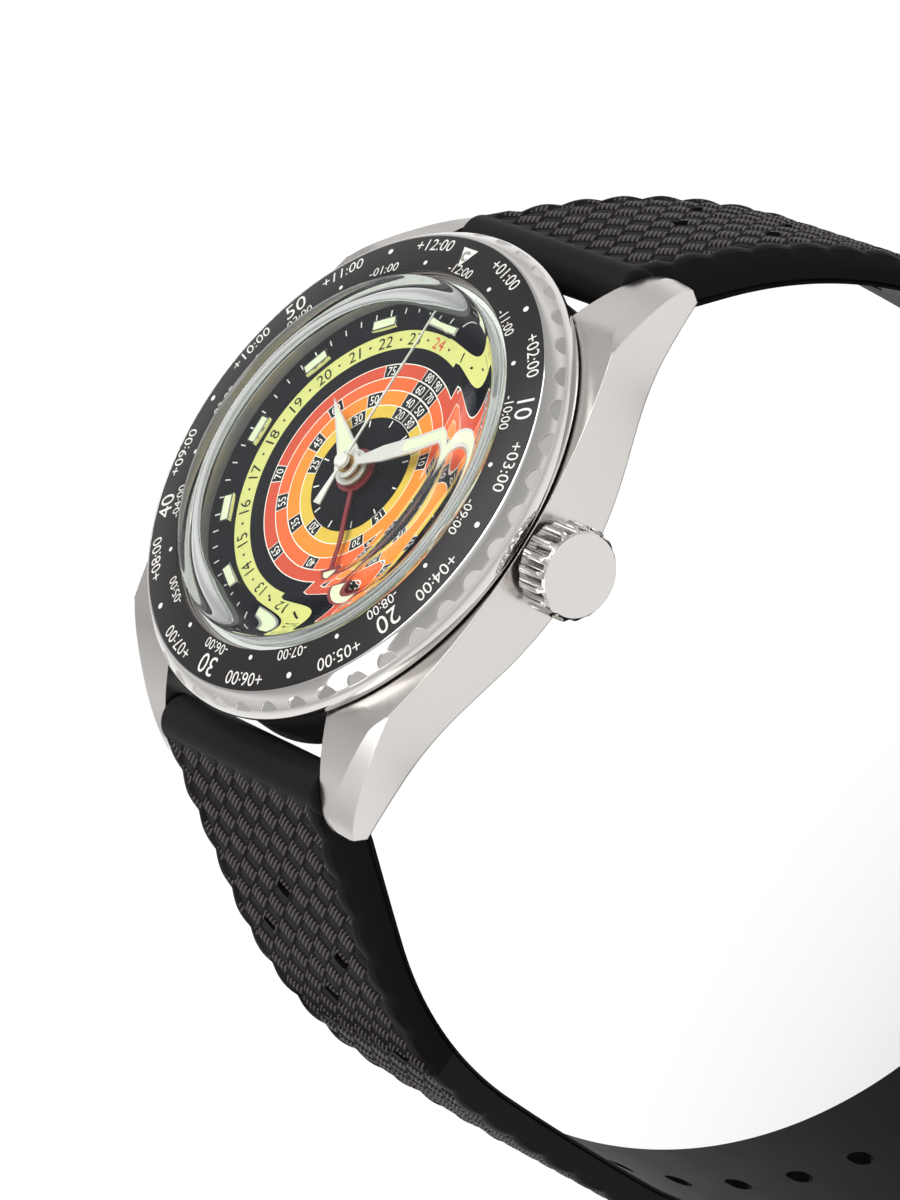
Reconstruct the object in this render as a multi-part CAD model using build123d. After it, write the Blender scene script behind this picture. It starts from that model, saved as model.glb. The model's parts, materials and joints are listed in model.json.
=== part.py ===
"""A world time watch: a steel case with four lugs, a turning bezel over a box crystal, a dial with four
hands, an automatic movement and an open rubber strap with a pin buckle.

Millimetres. The origin is the centre of the case back's outer face, +Z comes out of the dial, +X points to
the crown at 3 o'clock and +Y to 12 o'clock. The hands show ten past ten.
"""

from build123d import *
import math
import os

os.makedirs("parts", exist_ok=True)

# Clearances and overruns shared by every piece
overrun = 1.0
running_gap = 0.03
seat_gap = 0.02
side_gap = 0.15
small_edge = 0.12

# Case: a flat-sided body with four lugs and a round collar for the crystal
case_half_width = 20.3
case_side_radius = 41.0
case_half_length = 23.7
case_top = 7.7
case_body_radius = 19.2
case_underside_radius = 17.6
case_underside = 1.2
case_belly = 2.9
lug_inner_half_gap = 10.6
lug_tip_rounding = 0.7
lug_root_reach = 15.4
lug_crest_reach = 17.4
lug_shoulder_reach = 20.0
lug_nose_reach = 22.6
lug_crest_height = 7.25
lug_shoulder_height = 5.75
lug_nose_height = 3.6
lug_tip_height = 1.7
lug_tip_bottom = 0.35
lug_heel_reach = 22.3
lug_heel_height = 0.72
lug_ankle_reach = 20.4
lug_ankle_height = 1.62
belly_start_reach = 3.3
belly_start_height = 2.02
belly_mid_reach = 7.5
belly_mid_height = 2.5
belly_rise_reach = 10.6
belly_rise_height = 3.0
belly_crest_reach = 13.2
belly_crest_height = 3.24
belly_fall_reach = 16.6
belly_fall_height = 2.92
belly_side_height = 1.9
lug_bevel_drop = 1.15
lug_bevel_width = 1.5
lug_bevel_shares = (0.08, 0.6, 0.85, 1.0, 1.0)
collar_radius = 16.35
collar_bore = 15.6
collar_top = 10.15
crystal_shelf_radius = 15.05
crystal_shelf_height = 8.85
movement_bore = 15.6
back_thread_radius = 16.6
back_thread_depth = 1.8

# Case back: a screwed cup with wrench notches, and its seal
back_flange_radius = 17.2
back_flat_radius = 15.6
back_bevel_height = 0.55
back_floor = 1.25
back_cup_radius = 15.2
back_cup_height = 2.6
back_notch_count = 6
back_notch_width = 2.2
back_notch_depth = 0.7
back_step_radius = 13.0
back_step_depth = 0.12
back_seal_width = 0.75
back_seal_height = 0.34

# Crystal: a box-shaped dome and the ring that holds it
crystal_radius = 15.2
crystal_wall_top = 12.15
crystal_shoulder_inset = 0.75
crystal_shoulder_height = 12.85
crystal_top = 13.4
crystal_bottom = 8.87
crystal_cavity_radius = 14.15
crystal_cavity_taper = 0.1
crystal_cavity_wall_top = 10.15
crystal_cavity_shoulder_inset = 1.1
crystal_cavity_shoulder_height = 10.8
crystal_cavity_top = 11.2
crystal_seal_top = 10.0

# Inner flange between the dial and the crystal
flange_inner_low = 14.55
flange_inner_high = 14.85

# Turning bezel: toothed ring, printed insert, luminous pip, retaining wire and click spring
bezel_radius = 20.2
bezel_belly_radius = 20.32
bezel_belly_height = 8.45
bezel_brow_radius = 20.05
bezel_brow_height = 9.4
bezel_rim_radius = 19.15
bezel_rim_height = 10.5
bezel_floor = 7.87
bezel_bore = 16.45
bezel_lip_radius = 15.95
bezel_lip_floor = 10.25
insert_inner_radius = 15.95
insert_outer_radius = 19.05
insert_inner_height = 10.92
insert_outer_height = 10.52
insert_thickness = 0.42
notch_count = 44
notch_radius = 0.9
notch_depth = 0.5
notch_height = 9.55
notch_tilt = 38.0
pip_radius = 0.5
pip_place = 17.6
pip_rise = 0.22
wire_bottom = 8.7
wire_height = 0.28
wire_inner_radius = 16.2
wire_outer_radius = 16.72
wire_gap_angle = 12.0
click_inner_radius = 17.3
click_outer_radius = 18.9
click_thickness = 0.2
click_arm_count = 3
click_arm_rise = 0.18
click_groove_height = 8.35

# Crown, its tube, seal and winding stem
crown_axis_height = 4.75
crown_radius = 3.5
crown_inner_face = 20.85
crown_outer_face = 23.9
crown_face_radius = 2.9
crown_chamfer = 0.4
crown_tooth_count = 18
crown_tooth_depth = 0.36
crown_skirt_bore = 2.05
crown_bore_depth = 2.2
crown_boss_radius = 1.0
tube_radius = 1.6
tube_bore = 0.72
tube_inner_end = 16.4
tube_outer_end = 22.1
tube_flange_radius = 1.9
tube_flange_end = 20.62
crown_end_wall = 0.72
crown_seal_length = 0.6
stem_radius = 0.6
stem_square = 0.72
stem_inner_end = 7.3
stem_square_end = 10.32
stem_pivot_length = 2.3
stem_bearing_start = 5.9
stem_bearing_end = 7.0
stem_bearing_half = 0.8
stem_pivot_radius = 0.3

# Movement outline and its layers, measured from the case back
movement_radius = 12.9
holder_bottom = 3.1
plate_wall_radius = 11.85
bridge_bottom = 2.55
bridge_top = 2.95
bridge_split = 1.5
barrel_bridge_edge = -3.2
cock_half_width = 2.6
cock_edge = -5.1
plate_floor_bottom = 5.2
plate_floor_top = 6.0
plate_rim_top = 7.08
date_land_inner_radius = 7.4
date_land_outer_radius = 8.35
date_land_height = 6.85
date_track_radius = 12.0
date_track_floor = 6.5
holder_height = 7.06

# Dial, hour markers and date
dial_radius = 15.3
dial_bottom = 7.1
dial_top = 7.5
dial_hole_radius = 1.5
dial_foot_radius = 0.35
dial_foot_place = 12.45
dial_foot_length = 0.6
dial_foot_headings = (70.0, 250.0)
window_inner_radius = 10.0
window_outer_radius = 11.75
window_width = 2.5
date_ring_inner_radius = 9.25
date_ring_outer_radius = 11.9
date_ring_bottom = 6.58
date_ring_thickness = 0.22
date_tooth_count = 31
date_tooth_depth = 0.45
date_tooth_shares = (0.72, 0.6, 0.46)
guard_inner_radius = 7.6
guard_outer_radius = 9.7
guard_bottom = 6.85
guard_thickness = 0.15
marker_count = 12
marker_place = 12.55
marker_length = 2.3
marker_width = 0.95
marker_height = 0.5
marker_wall = 0.14
marker_lume_rise = 0.04
noon_marker_length = 3.6

# Hands
gmt_hand_bottom = 7.9
gmt_hand_thickness = 0.14
gmt_hand_stem_width = 0.36
gmt_arrow_start = 8.3
gmt_arrow_width = 1.9
gmt_hand_length = 11.7
gmt_hub_radius = 1.75
hour_hand_bottom = 8.3
hour_hand_thickness = 0.16
hour_hand_length = 7.4
hour_hand_width = 1.9
hour_hub_radius = 1.45
minute_hand_bottom = 8.75
minute_hand_thickness = 0.16
minute_hand_length = 12.0
minute_hand_width = 1.3
minute_hub_radius = 1.15
minute_hand_neck = 3.45
seconds_hand_bottom = 9.2
seconds_hand_thickness = 0.12
seconds_hand_length = 13.4
seconds_hand_width = 0.2
seconds_tail_length = 3.6
seconds_tail_width = 0.75
seconds_hub_radius = 0.62
seconds_cap_height = 0.28
hour_angle = 305.0
minute_angle = 60.0
seconds_angle = 0.0
gmt_angle = 152.5

# Toothing shared by every wheel of the movement, as shares of one tooth pitch or of the module
tooth_root_share = 0.44
tooth_middle_share = 0.34
tooth_tip_share = 0.16
tooth_rise_share = 0.72
tooth_fall_share = 1.1

# Going train
wheel_thickness = 0.18
pivot_radius = 0.12
arbor_radius = 0.18
spoke_count = 5
hub_radius = 0.75
rim_width = 0.45
barrel_distance = 6.0
barrel_teeth = 84
centre_pinion_teeth = 12
barrel_bottom = 3.65
barrel_top = 4.75
barrel_drum_radius = 4.85
barrel_wall = 0.25
barrel_arbor_radius = 0.9
mainspring_turns = 9
mainspring_strip = 0.125
centre_wheel_teeth = 64
centre_wheel_bottom = 4.87
third_pinion_teeth = 8
third_distance = 3.6
third_direction = 190.0
third_wheel_teeth = 60
third_wheel_bottom = 3.32
fourth_pinion_teeth = 8
fourth_wheel_teeth = 72
fourth_wheel_bottom = 3.03
escape_pinion_teeth = 6
escape_distance = 3.55
escape_direction = 255.0
escape_teeth = 20
escape_radius = 2.0
escape_root_radius = 1.55
escape_bottom = 4.05
centre_arbor_radius = 0.44
centre_arbor_bore = 0.26
seconds_arbor_radius = 0.22

# Escapement and balance
balance_place_x = 0.9
balance_place_y = -7.6
balance_radius = 4.0
balance_rim_width = 0.45
balance_bottom = 3.4
balance_thickness = 0.34
balance_arm_width = 0.5
balance_arm_count = 3
roller_radius = 0.7
roller_height = 0.12
roller_gap = 0.12
hairspring_bottom = 3.06
hairspring_height = 0.12
hairspring_strip = 0.07
hairspring_turns = 9
hairspring_inner_radius = 0.55
hairspring_outer_radius = 2.5
spiral_steps = 12
pallet_distance = 2.42
pallet_height = 0.14
pallet_arm_width = 0.34
pallet_stone_length = 0.5
pallet_stone_width = 0.24
pallet_stone_gap = 0.17
pallet_spread = 34.2
fork_reach = 1.4
pallet_bottom = 4.07
pallet_bridge_bottom = 3.8
pallet_bridge_thickness = 0.18
pallet_bridge_width = 0.9
pallet_bridge_half = 2.0
pallet_post_radius = 0.3

# Keyless works
winding_teeth = 12
winding_module = 0.2
winding_pinion_start = 10.45
winding_pinion_length = 0.85
winding_tooth_shares = (0.39, 0.3, 0.18)
clutch_start = 8.15
clutch_length = 2.1
clutch_radius = 1.0
clutch_groove_radius = 0.75
clutch_groove_width = 0.5
crown_wheel_teeth = 26
ratchet_teeth = 46
crown_wheel_bottom = 3.3
crown_wheel_thickness = 0.25
click_pawl_radius = 0.55
click_pawl_length = 1.5
click_tip_lean = 60.0
click_root_lean = 80.0

# Motion works on the dial side
motion_module_distance = 2.6
motion_direction = 100.0
cannon_teeth = 12
minute_wheel_teeth = 36
minute_pinion_teeth = 10
hour_wheel_teeth = 40
motion_level = 6.08
hour_wheel_level = 6.4
gmt_wheel_level = 6.68
motion_thickness = 0.16
idler_direction = 215.0
idler_pinion_teeth = 20
gmt_wheel_teeth = 40
cannon_radius = 0.72
hour_pipe_radius = 1.0
gmt_pipe_radius = 1.28
motion_stud_radius = 0.3

jewel_radius = 0.5
jewel_depth = 0.2

# Automatic winding rotor
rotor_radius = 12.6
rotor_rim_inner_radius = 10.5
rotor_rim_bottom = 1.62
rotor_rim_top = 2.4
rotor_web_bottom = 1.85
rotor_web_top = 2.08
rotor_hub_radius = 2.6
rotor_bore = 1.75
bearing_radius = 1.7
bearing_flange_radius = 2.1
bearing_foot_radius = 1.3
rotor_window_radius = 9.3
rotor_window_inner_radius = 4.2
rotor_sweep = 172.0
rotor_heading = 250.0
rotor_edge_lean = 12.0

# Screws
screw_radius = 0.26
screw_head_radius = 0.44
screw_head_height = 0.18
screw_slot_width = 0.12
screw_slot_depth = 0.08
screw_length = 1.1
screw_place = 12.35
screw_sink = 0.02

# Strap: bars, two curved halves and keepers
bar_reach = 21.4
bar_height = 3.1
bar_radius = 0.88
bar_pin_radius = 0.45
bar_pin_depth = 1.3
strap_half_width = 10.45
strap_tip_half_width = 9.0
strap_end_thickness = 3.84
strap_thin_thickness = 2.65
strap_thick_run = 5.5
strap_taper_run = 30.0
strap_taper_drop = 34.0
strap_steps = 6
strap_long_turn = 45.0
strap_long_turn_steps = 18
strap_12_lean = 49.0
strap_12_lengths = (8.0, 28.0, 24.0, 15.0)
strap_12_turns = (0.0, 32.0, 3.0, 7.0)
strap_6_lean = 59.0
strap_6_lengths = (14.5, 19.0, 16.0, 66.0)
strap_6_turns = (0.0, 31.0, 3.0, 90.0)
strap_6_tip_rounding = 7.0
hole_count = 9
hole_pitch = 6.4
first_hole_from_tip = 16.0
hole_length = 2.6
hole_width = 1.9
vent_side = 1.3
vent_first_run = 11.1
vent_pitch = 9.8
vent_pair_place = 4.9
vent_margin = 4.0

# Pin buckle
buckle_bar_radius = 0.75
buckle_barrel_radius = 1.55
buckle_tongue_slot = 3.0
buckle_half_width = 11.2
buckle_wire = 1.9
buckle_length = 9.2
buckle_thickness = 1.7
buckle_bar_drop = 0.65
buckle_rounding = 1.2
buckle_pin_radius = 0.4
buckle_pin_depth = 1.0
buckle_side_gap = 0.35
tongue_width = 2.2
tongue_thickness = 1.0
tongue_ring_radius = 1.35
tongue_overhang = 0.6
keeper_wall = 1.1
keeper_length = 5.0
fixed_keeper_place = 14.0
free_keeper_place = 25.0
keeper_gap = 0.3


def cyl(radius, low, high, x=0, y=0):
    """A plain cylinder along Z."""
    return Pos(x, y, (low + high) / 2) * Cylinder(radius, high - low)


def tube(outer, inner, low, high, x=0, y=0):
    """A pipe along Z."""
    return cyl(outer, low, high, x, y) - cyl(inner, low - overrun, high + overrun, x, y)


def cyl_x(radius, start, end, y=0, z=0):
    """A plain cylinder along X."""
    return Pos((start + end) / 2, y, z) * Rot(0, 90, 0) * Cylinder(radius, end - start)


def block(x0, x1, y0, y1, z0, z1):
    """A box between two corners."""
    return Pos((x0 + x1) / 2, (y0 + y1) / 2, (z0 + z1) / 2) * Box(x1 - x0, y1 - y0, z1 - z0)


def turned_outline(points):
    """A solid of revolution about Z from straight edges through (radius, height) points."""
    outline = Polyline(*[(r, 0, z) for r, z in points], close=True)
    return revolve(make_face(outline), Axis.Z, 360)


def polar(radius, degrees):
    """A point at a distance and a direction from the centre, counted anticlockwise from +X."""
    return (radius * math.cos(math.radians(degrees)), radius * math.sin(math.radians(degrees)))


def around(count, shape, start=0.0):
    """Copies of a shape, evenly spaced about Z."""
    return [Rot(0, 0, start + index * 360.0 / count) * shape for index in range(count)]


def write(name, shape):
    export_step(shape, "parts/" + name + ".step")
    print(name, round(shape.volume, 2))


def tooth_points(teeth, pitch_radius, phase, rise, fall, shares):
    """The outline of a toothed wheel, with straight-sided teeth, as plan points."""
    root_share, middle_share, tip_share = shares
    pitch = 2 * math.pi / teeth
    rows = (
        (pitch_radius - fall, root_share),
        (pitch_radius, middle_share),
        (pitch_radius + rise, tip_share),
    )
    points = []
    for index in range(teeth):
        centre = math.radians(phase) + index * pitch
        for radius, share in rows:
            angle = centre - share * pitch / 2
            points.append((radius * math.cos(angle), radius * math.sin(angle)))
        for radius, share in reversed(rows):
            angle = centre + share * pitch / 2
            points.append((radius * math.cos(angle), radius * math.sin(angle)))
    return points


def gear(teeth, module, phase, low, high, place=(0, 0)):
    """A toothed disc along Z."""
    shares = (tooth_root_share, tooth_middle_share, tooth_tip_share)
    rise = tooth_rise_share * module
    fall = tooth_fall_share * module
    points = tooth_points(teeth, teeth * module / 2, phase, rise, fall, shares)
    outline = make_face(Polyline(*points, close=True))
    return Pos(place[0], place[1], low) * extrude(outline, high - low)


def mesh_phase(teeth_a, phase_a, place_a, teeth_b, place_b):
    """The phase that puts wheel B's gap on wheel A's tooth along their line of centres."""
    line = math.degrees(math.atan2(place_b[1] - place_a[1], place_b[0] - place_a[0]))
    pitch_a = 360.0 / teeth_a
    pitch_b = 360.0 / teeth_b
    share_a = ((line - phase_a) % pitch_a) / pitch_a
    share_b = 0.5 - share_a
    return line + 180.0 - share_b * pitch_b


def spoked(wheel, rim_inner, low, high, place, arm_width):
    """Opens windows between the spokes of a wheel."""
    ring = tube(rim_inner, hub_radius, low - overrun, high + overrun)
    arms = [Rot(0, 0, index * 360.0 / spoke_count) * block(0, rim_inner, -arm_width / 2, arm_width / 2,
            low - 2 * overrun, high + 2 * overrun) for index in range(spoke_count)]
    return wheel - Pos(place[0], place[1], 0) * (ring - arms)


def screw(place, head_top, direction=-1):
    """A slotted screw with its head towards the case back (direction -1) or the dial (1)."""
    x, y = place
    near, far = head_top, head_top - direction * screw_head_height
    head = cyl(screw_head_radius, min(near, far), max(near, far), x, y)
    end = far - direction * screw_length
    shank = cyl(screw_radius, min(far, end), max(far, end), x, y)
    slot_end = near - direction * screw_slot_depth
    slot = block(x - screw_head_radius - overrun, x + screw_head_radius + overrun,
                 y - screw_slot_width / 2, y + screw_slot_width / 2,
                 min(near + direction * overrun, slot_end), max(near + direction * overrun, slot_end))
    return head + shank - slot


# Mid case
def side_face(y):
    """The half width of the case at a distance along the strap direction."""
    return case_half_width - case_side_radius + math.sqrt(case_side_radius ** 2 - y ** 2)


def build_case():
    tip = side_face(case_half_length)
    right = ThreePointArc((tip, -case_half_length), (case_half_width, 0), (tip, case_half_length))
    left = ThreePointArc((-tip, case_half_length), (-case_half_width, 0), (-tip, -case_half_length))
    gap_end = math.sqrt(case_body_radius ** 2 - lug_inner_half_gap ** 2)
    upper = [
        Line((tip, case_half_length), (lug_inner_half_gap, case_half_length)),
        Line((lug_inner_half_gap, case_half_length), (lug_inner_half_gap, gap_end)),
        ThreePointArc((lug_inner_half_gap, gap_end), (0, case_body_radius), (-lug_inner_half_gap, gap_end)),
        Line((-lug_inner_half_gap, gap_end), (-lug_inner_half_gap, case_half_length)),
        Line((-lug_inner_half_gap, case_half_length), (-tip, case_half_length)),
    ]
    lower = [
        Line((-tip, -case_half_length), (-lug_inner_half_gap, -case_half_length)),
        Line((-lug_inner_half_gap, -case_half_length), (-lug_inner_half_gap, -gap_end)),
        ThreePointArc((-lug_inner_half_gap, -gap_end), (0, -case_body_radius),
                      (lug_inner_half_gap, -gap_end)),
        Line((lug_inner_half_gap, -gap_end), (lug_inner_half_gap, -case_half_length)),
        Line((lug_inner_half_gap, -case_half_length), (tip, -case_half_length)),
    ]
    plan = extrude(make_face([right, left] + upper + lower), case_top)

    heel = case_half_length - lug_tip_rounding
    belly = Spline(
        (0, 0, belly_side_height),
        (0, belly_start_reach, belly_start_height),
        (0, belly_mid_reach, belly_mid_height),
        (0, belly_rise_reach, belly_rise_height),
        (0, belly_crest_reach, belly_crest_height),
        (0, belly_fall_reach, belly_fall_height),
        (0, lug_ankle_reach, lug_ankle_height),
        (0, lug_heel_reach, lug_heel_height),
        tangents=((0, 1, 0), (0, heel - lug_heel_reach, lug_tip_bottom - lug_heel_height)),
    )
    foot = Polyline(
        (0, lug_heel_reach, lug_heel_height),
        (0, heel, lug_tip_bottom),
        (0, case_half_length, lug_tip_bottom + lug_tip_rounding),
        (0, case_half_length, lug_tip_height),
    )
    crest = Spline(
        (0, case_half_length, lug_tip_height),
        (0, lug_nose_reach, lug_nose_height),
        (0, lug_shoulder_reach, lug_shoulder_height),
        (0, lug_crest_reach, lug_crest_height),
        (0, lug_root_reach, case_top),
        tangents=((0, -lug_tip_height, case_top), (0, -1, 0)),
    )
    top = Line((0, lug_root_reach, case_top), (0, 0, case_top))
    centre = Line((0, 0, case_top), (0, 0, belly_side_height))
    profile = make_face([belly, foot, crest, top, centre])
    span = 2 * case_half_width + 2 * overrun
    side = extrude(profile, span / 2, both=True)
    body = plan & (side + mirror(side, Plane.XZ))

    round_body = turned_outline([
        (0, case_underside),
        (case_underside_radius, case_underside),
        (case_body_radius, case_belly),
        (case_body_radius, case_top),
        (collar_radius, case_top),
        (collar_radius, collar_top),
        (0, collar_top),
    ])
    body = body + round_body
    for side_sign in (-1, 1):
        for end_sign in (-1, 1):
            body = body - lug_bevel(side_sign, end_sign)

    cavity = turned_outline([
        (0, case_underside - overrun),
        (back_thread_radius, case_underside - overrun),
        (back_thread_radius, case_underside + back_thread_depth),
        (movement_bore, case_underside + back_thread_depth),
        (movement_bore, dial_top + seat_gap),
        (crystal_shelf_radius, dial_top + seat_gap),
        (crystal_shelf_radius, crystal_shelf_height),
        (collar_bore, crystal_shelf_height),
        (collar_bore, collar_top + overrun),
        (0, collar_top + overrun),
    ])
    wire_groove = tube(collar_radius + overrun, wire_inner_radius - side_gap,
                       wire_bottom - side_gap / 2, wire_bottom + wire_height + side_gap / 2)
    tube_hole = cyl_x(tube_radius + seat_gap, movement_bore - 2 * overrun, case_half_width + overrun,
                      0, crown_axis_height)
    flange_seat = cyl_x(tube_flange_radius + seat_gap, case_half_width - seat_gap, case_half_width + overrun,
                        0, crown_axis_height)
    body = body - cavity - wire_groove - tube_hole - flange_seat
    for end_sign in (-1, 1):
        bar_hole = cyl_x(bar_pin_radius + seat_gap, -lug_inner_half_gap - bar_pin_depth - seat_gap,
                         lug_inner_half_gap + bar_pin_depth + seat_gap, end_sign * bar_reach, bar_height)
        body = body - bar_hole
    return body


def lug_bevel(side_sign, end_sign):
    """The wedge that leaves a slope along a lug's outer top edge, wider towards the tip."""
    stations = (
        (lug_root_reach, case_top),
        (lug_crest_reach, lug_crest_height),
        (lug_shoulder_reach, lug_shoulder_height),
        (lug_nose_reach, lug_nose_height),
        (case_half_length + small_edge, lug_tip_height),
    )
    sections = []
    for (reach, height), width_share in zip(stations, lug_bevel_shares):
        face_x = side_face(reach)
        drop = lug_bevel_drop * width_share
        width = lug_bevel_width * width_share
        slope = lug_bevel_drop / lug_bevel_width
        outer_x = face_x + overrun
        inner_x = face_x - width - overrun
        points = [
            (side_sign * outer_x, end_sign * reach, height - drop - slope * overrun),
            (side_sign * outer_x, end_sign * reach, height + overrun),
            (side_sign * inner_x, end_sign * reach, height + overrun),
            (side_sign * inner_x, end_sign * reach, height + slope * overrun),
        ]
        sections.append(make_face(Polyline(*points, close=True)))
    return loft(sections)


# Case back, its seal and the movement holder
def build_case_back():
    shell = turned_outline([
        (0, 0),
        (back_flat_radius, 0),
        (back_flange_radius, back_bevel_height),
        (back_flange_radius, case_underside - seat_gap),
        (back_thread_radius - running_gap, case_underside - seat_gap),
        (back_thread_radius - running_gap, back_cup_height),
        (back_cup_radius, back_cup_height),
        (back_cup_radius, back_floor),
        (0, back_floor),
    ])
    ring = tube(back_step_radius + back_step_depth, back_step_radius, -overrun, back_step_depth)
    notch = block(back_flange_radius - back_notch_depth, back_flange_radius + overrun, -back_notch_width / 2,
                  back_notch_width / 2, -overrun, back_bevel_height + back_step_depth)
    return shell - ring - around(back_notch_count, notch)


write("mid_case", build_case())
write("case_back", build_case_back())
seal_bottom = back_cup_height + seat_gap
seal_outer = back_thread_radius - running_gap
back_gasket = tube(seal_outer, seal_outer - back_seal_width, seal_bottom, seal_bottom + back_seal_height)
stem_notch = cyl_x(tube_radius, 0, movement_bore + overrun, 0, crown_axis_height)
holder = tube(movement_bore - seat_gap, movement_radius + seat_gap, holder_bottom, holder_height)
write("movement_holder", holder - stem_notch)


# Crystal, its seal and the inner flange
def build_crystal():
    half_shoulder = (crystal_shoulder_height + crystal_wall_top) / 2
    inset = crystal_shoulder_inset
    outside = [
        Line((crystal_radius, 0, crystal_bottom), (crystal_radius, 0, crystal_wall_top)),
        ThreePointArc((crystal_radius, 0, crystal_wall_top), (crystal_radius - inset / 4, 0, half_shoulder),
                      (crystal_radius - inset, 0, crystal_shoulder_height)),
        Spline((crystal_radius - inset, 0, crystal_shoulder_height), (0, 0, crystal_top),
               tangents=((-crystal_radius, 0, crystal_shoulder_height - crystal_wall_top), (-1, 0, 0))),
    ]
    cavity_high = crystal_cavity_radius - crystal_cavity_taper
    cavity_inset = crystal_cavity_shoulder_inset
    half_cavity = (crystal_cavity_shoulder_height + crystal_cavity_wall_top) / 2
    inside = [
        Line((0, 0, crystal_top), (0, 0, crystal_cavity_top)),
        Spline((0, 0, crystal_cavity_top), (cavity_high - cavity_inset, 0, crystal_cavity_shoulder_height),
               tangents=((1, 0, 0), (crystal_radius, 0, crystal_wall_top - crystal_shoulder_height))),
        ThreePointArc((cavity_high - cavity_inset, 0, crystal_cavity_shoulder_height),
                      (cavity_high - cavity_inset / 4, 0, half_cavity),
                      (cavity_high, 0, crystal_cavity_wall_top)),
        Line((cavity_high, 0, crystal_cavity_wall_top), (crystal_cavity_radius, 0, crystal_bottom)),
        Line((crystal_cavity_radius, 0, crystal_bottom), (crystal_radius, 0, crystal_bottom)),
    ]
    return revolve(make_face(outside + inside), Axis.Z, 360)


write("crystal", build_crystal())
crystal_gasket = tube(collar_bore - seat_gap, crystal_radius + seat_gap, crystal_shelf_height + seat_gap,
                      crystal_seal_top)
write("case_gaskets", Compound(children=[back_gasket, crystal_gasket]))
write("inner_flange", turned_outline([
    (flange_inner_low, dial_top + seat_gap),
    (crystal_shelf_radius - seat_gap, dial_top + seat_gap),
    (crystal_shelf_radius - seat_gap, crystal_shelf_height),
    (flange_inner_high, crystal_shelf_height),
]))


# Bezel
def build_bezel():
    outline = [
        Line((bezel_bore, 0, bezel_floor), (bezel_radius, 0, bezel_floor)),
        Spline((bezel_radius, 0, bezel_floor), (bezel_belly_radius, 0, bezel_belly_height),
               (bezel_brow_radius, 0, bezel_brow_height), (bezel_rim_radius, 0, bezel_rim_height)),
        Line((bezel_rim_radius, 0, bezel_rim_height), (insert_outer_radius + seat_gap, 0, bezel_rim_height)),
        Line((insert_outer_radius + seat_gap, 0, bezel_rim_height),
             (insert_outer_radius + seat_gap, 0, insert_outer_height - insert_thickness - seat_gap)),
        Line((insert_outer_radius + seat_gap, 0, insert_outer_height - insert_thickness - seat_gap),
             (bezel_lip_radius, 0, insert_inner_height - insert_thickness - seat_gap)),
        Line((bezel_lip_radius, 0, insert_inner_height - insert_thickness - seat_gap),
             (bezel_lip_radius, 0, bezel_lip_floor)),
        Line((bezel_lip_radius, 0, bezel_lip_floor), (bezel_bore, 0, bezel_lip_floor)),
        Line((bezel_bore, 0, bezel_lip_floor), (bezel_bore, 0, bezel_floor)),
    ]
    ring = revolve(make_face(outline), Axis.Z, 360)
    wire_groove = tube(wire_outer_radius + side_gap / 2, bezel_bore - overrun, wire_bottom - side_gap / 2,
                       wire_bottom + wire_height + side_gap / 2)
    click_groove = tube(click_outer_radius + side_gap, click_inner_radius - side_gap, bezel_floor - overrun,
                        click_groove_height)
    dent_place = bezel_brow_radius + notch_radius - notch_depth
    dent = Pos(dent_place, 0, notch_height) * Rot(0, notch_tilt, 0) * Cylinder(notch_radius, notch_radius)
    return ring - wire_groove - click_groove - around(notch_count, dent, 180.0 / notch_count)


def build_click_spring():
    flat = tube(click_outer_radius, click_inner_radius, case_top, case_top + click_thickness)
    tooth_half = (click_outer_radius - click_inner_radius) / 2
    middle = (click_outer_radius + click_inner_radius) / 2
    low = case_top + click_thickness
    tooth = block(middle - tooth_half / 2, middle + tooth_half / 2, -tooth_half / 2, tooth_half / 2,
                  low, low + click_arm_rise)
    return flat + around(click_arm_count, tooth)


def build_retaining_wire():
    ring = tube(wire_outer_radius, wire_inner_radius, wire_bottom, wire_bottom + wire_height)
    gap = block(0, wire_outer_radius + overrun, 0, wire_outer_radius + overrun, wire_bottom - overrun,
                wire_bottom + wire_height + overrun)
    opening = gap & (Rot(0, 0, wire_gap_angle - 90) * gap)
    return ring - opening


def build_insert():
    disc = turned_outline([
        (insert_inner_radius, insert_inner_height - insert_thickness),
        (insert_outer_radius, insert_outer_height - insert_thickness),
        (insert_outer_radius, insert_outer_height),
        (insert_inner_radius, insert_inner_height),
    ])
    seat = cyl(pip_radius + seat_gap, bezel_floor, insert_inner_height + overrun, 0, pip_place)
    return disc - seat


def build_pip():
    share = (pip_place - insert_inner_radius) / (insert_outer_radius - insert_inner_radius)
    surface = insert_inner_height + share * (insert_outer_height - insert_inner_height)
    floor = surface - insert_thickness
    base = cyl(pip_radius, floor + 2 * seat_gap, surface, 0, pip_place)
    ball_radius = (pip_radius ** 2 + pip_rise ** 2) / (2 * pip_rise)
    cap = Pos(0, pip_place, surface + pip_rise - ball_radius) * Sphere(ball_radius)
    return base + (cap & cyl(pip_radius, surface, surface + pip_rise + overrun, 0, pip_place))


write("bezel_ring", build_bezel())
write("bezel_springs", Compound(children=[build_click_spring(), build_retaining_wire()]))
write("bezel_insert", build_insert())
write("bezel_pip", build_pip())


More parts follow.
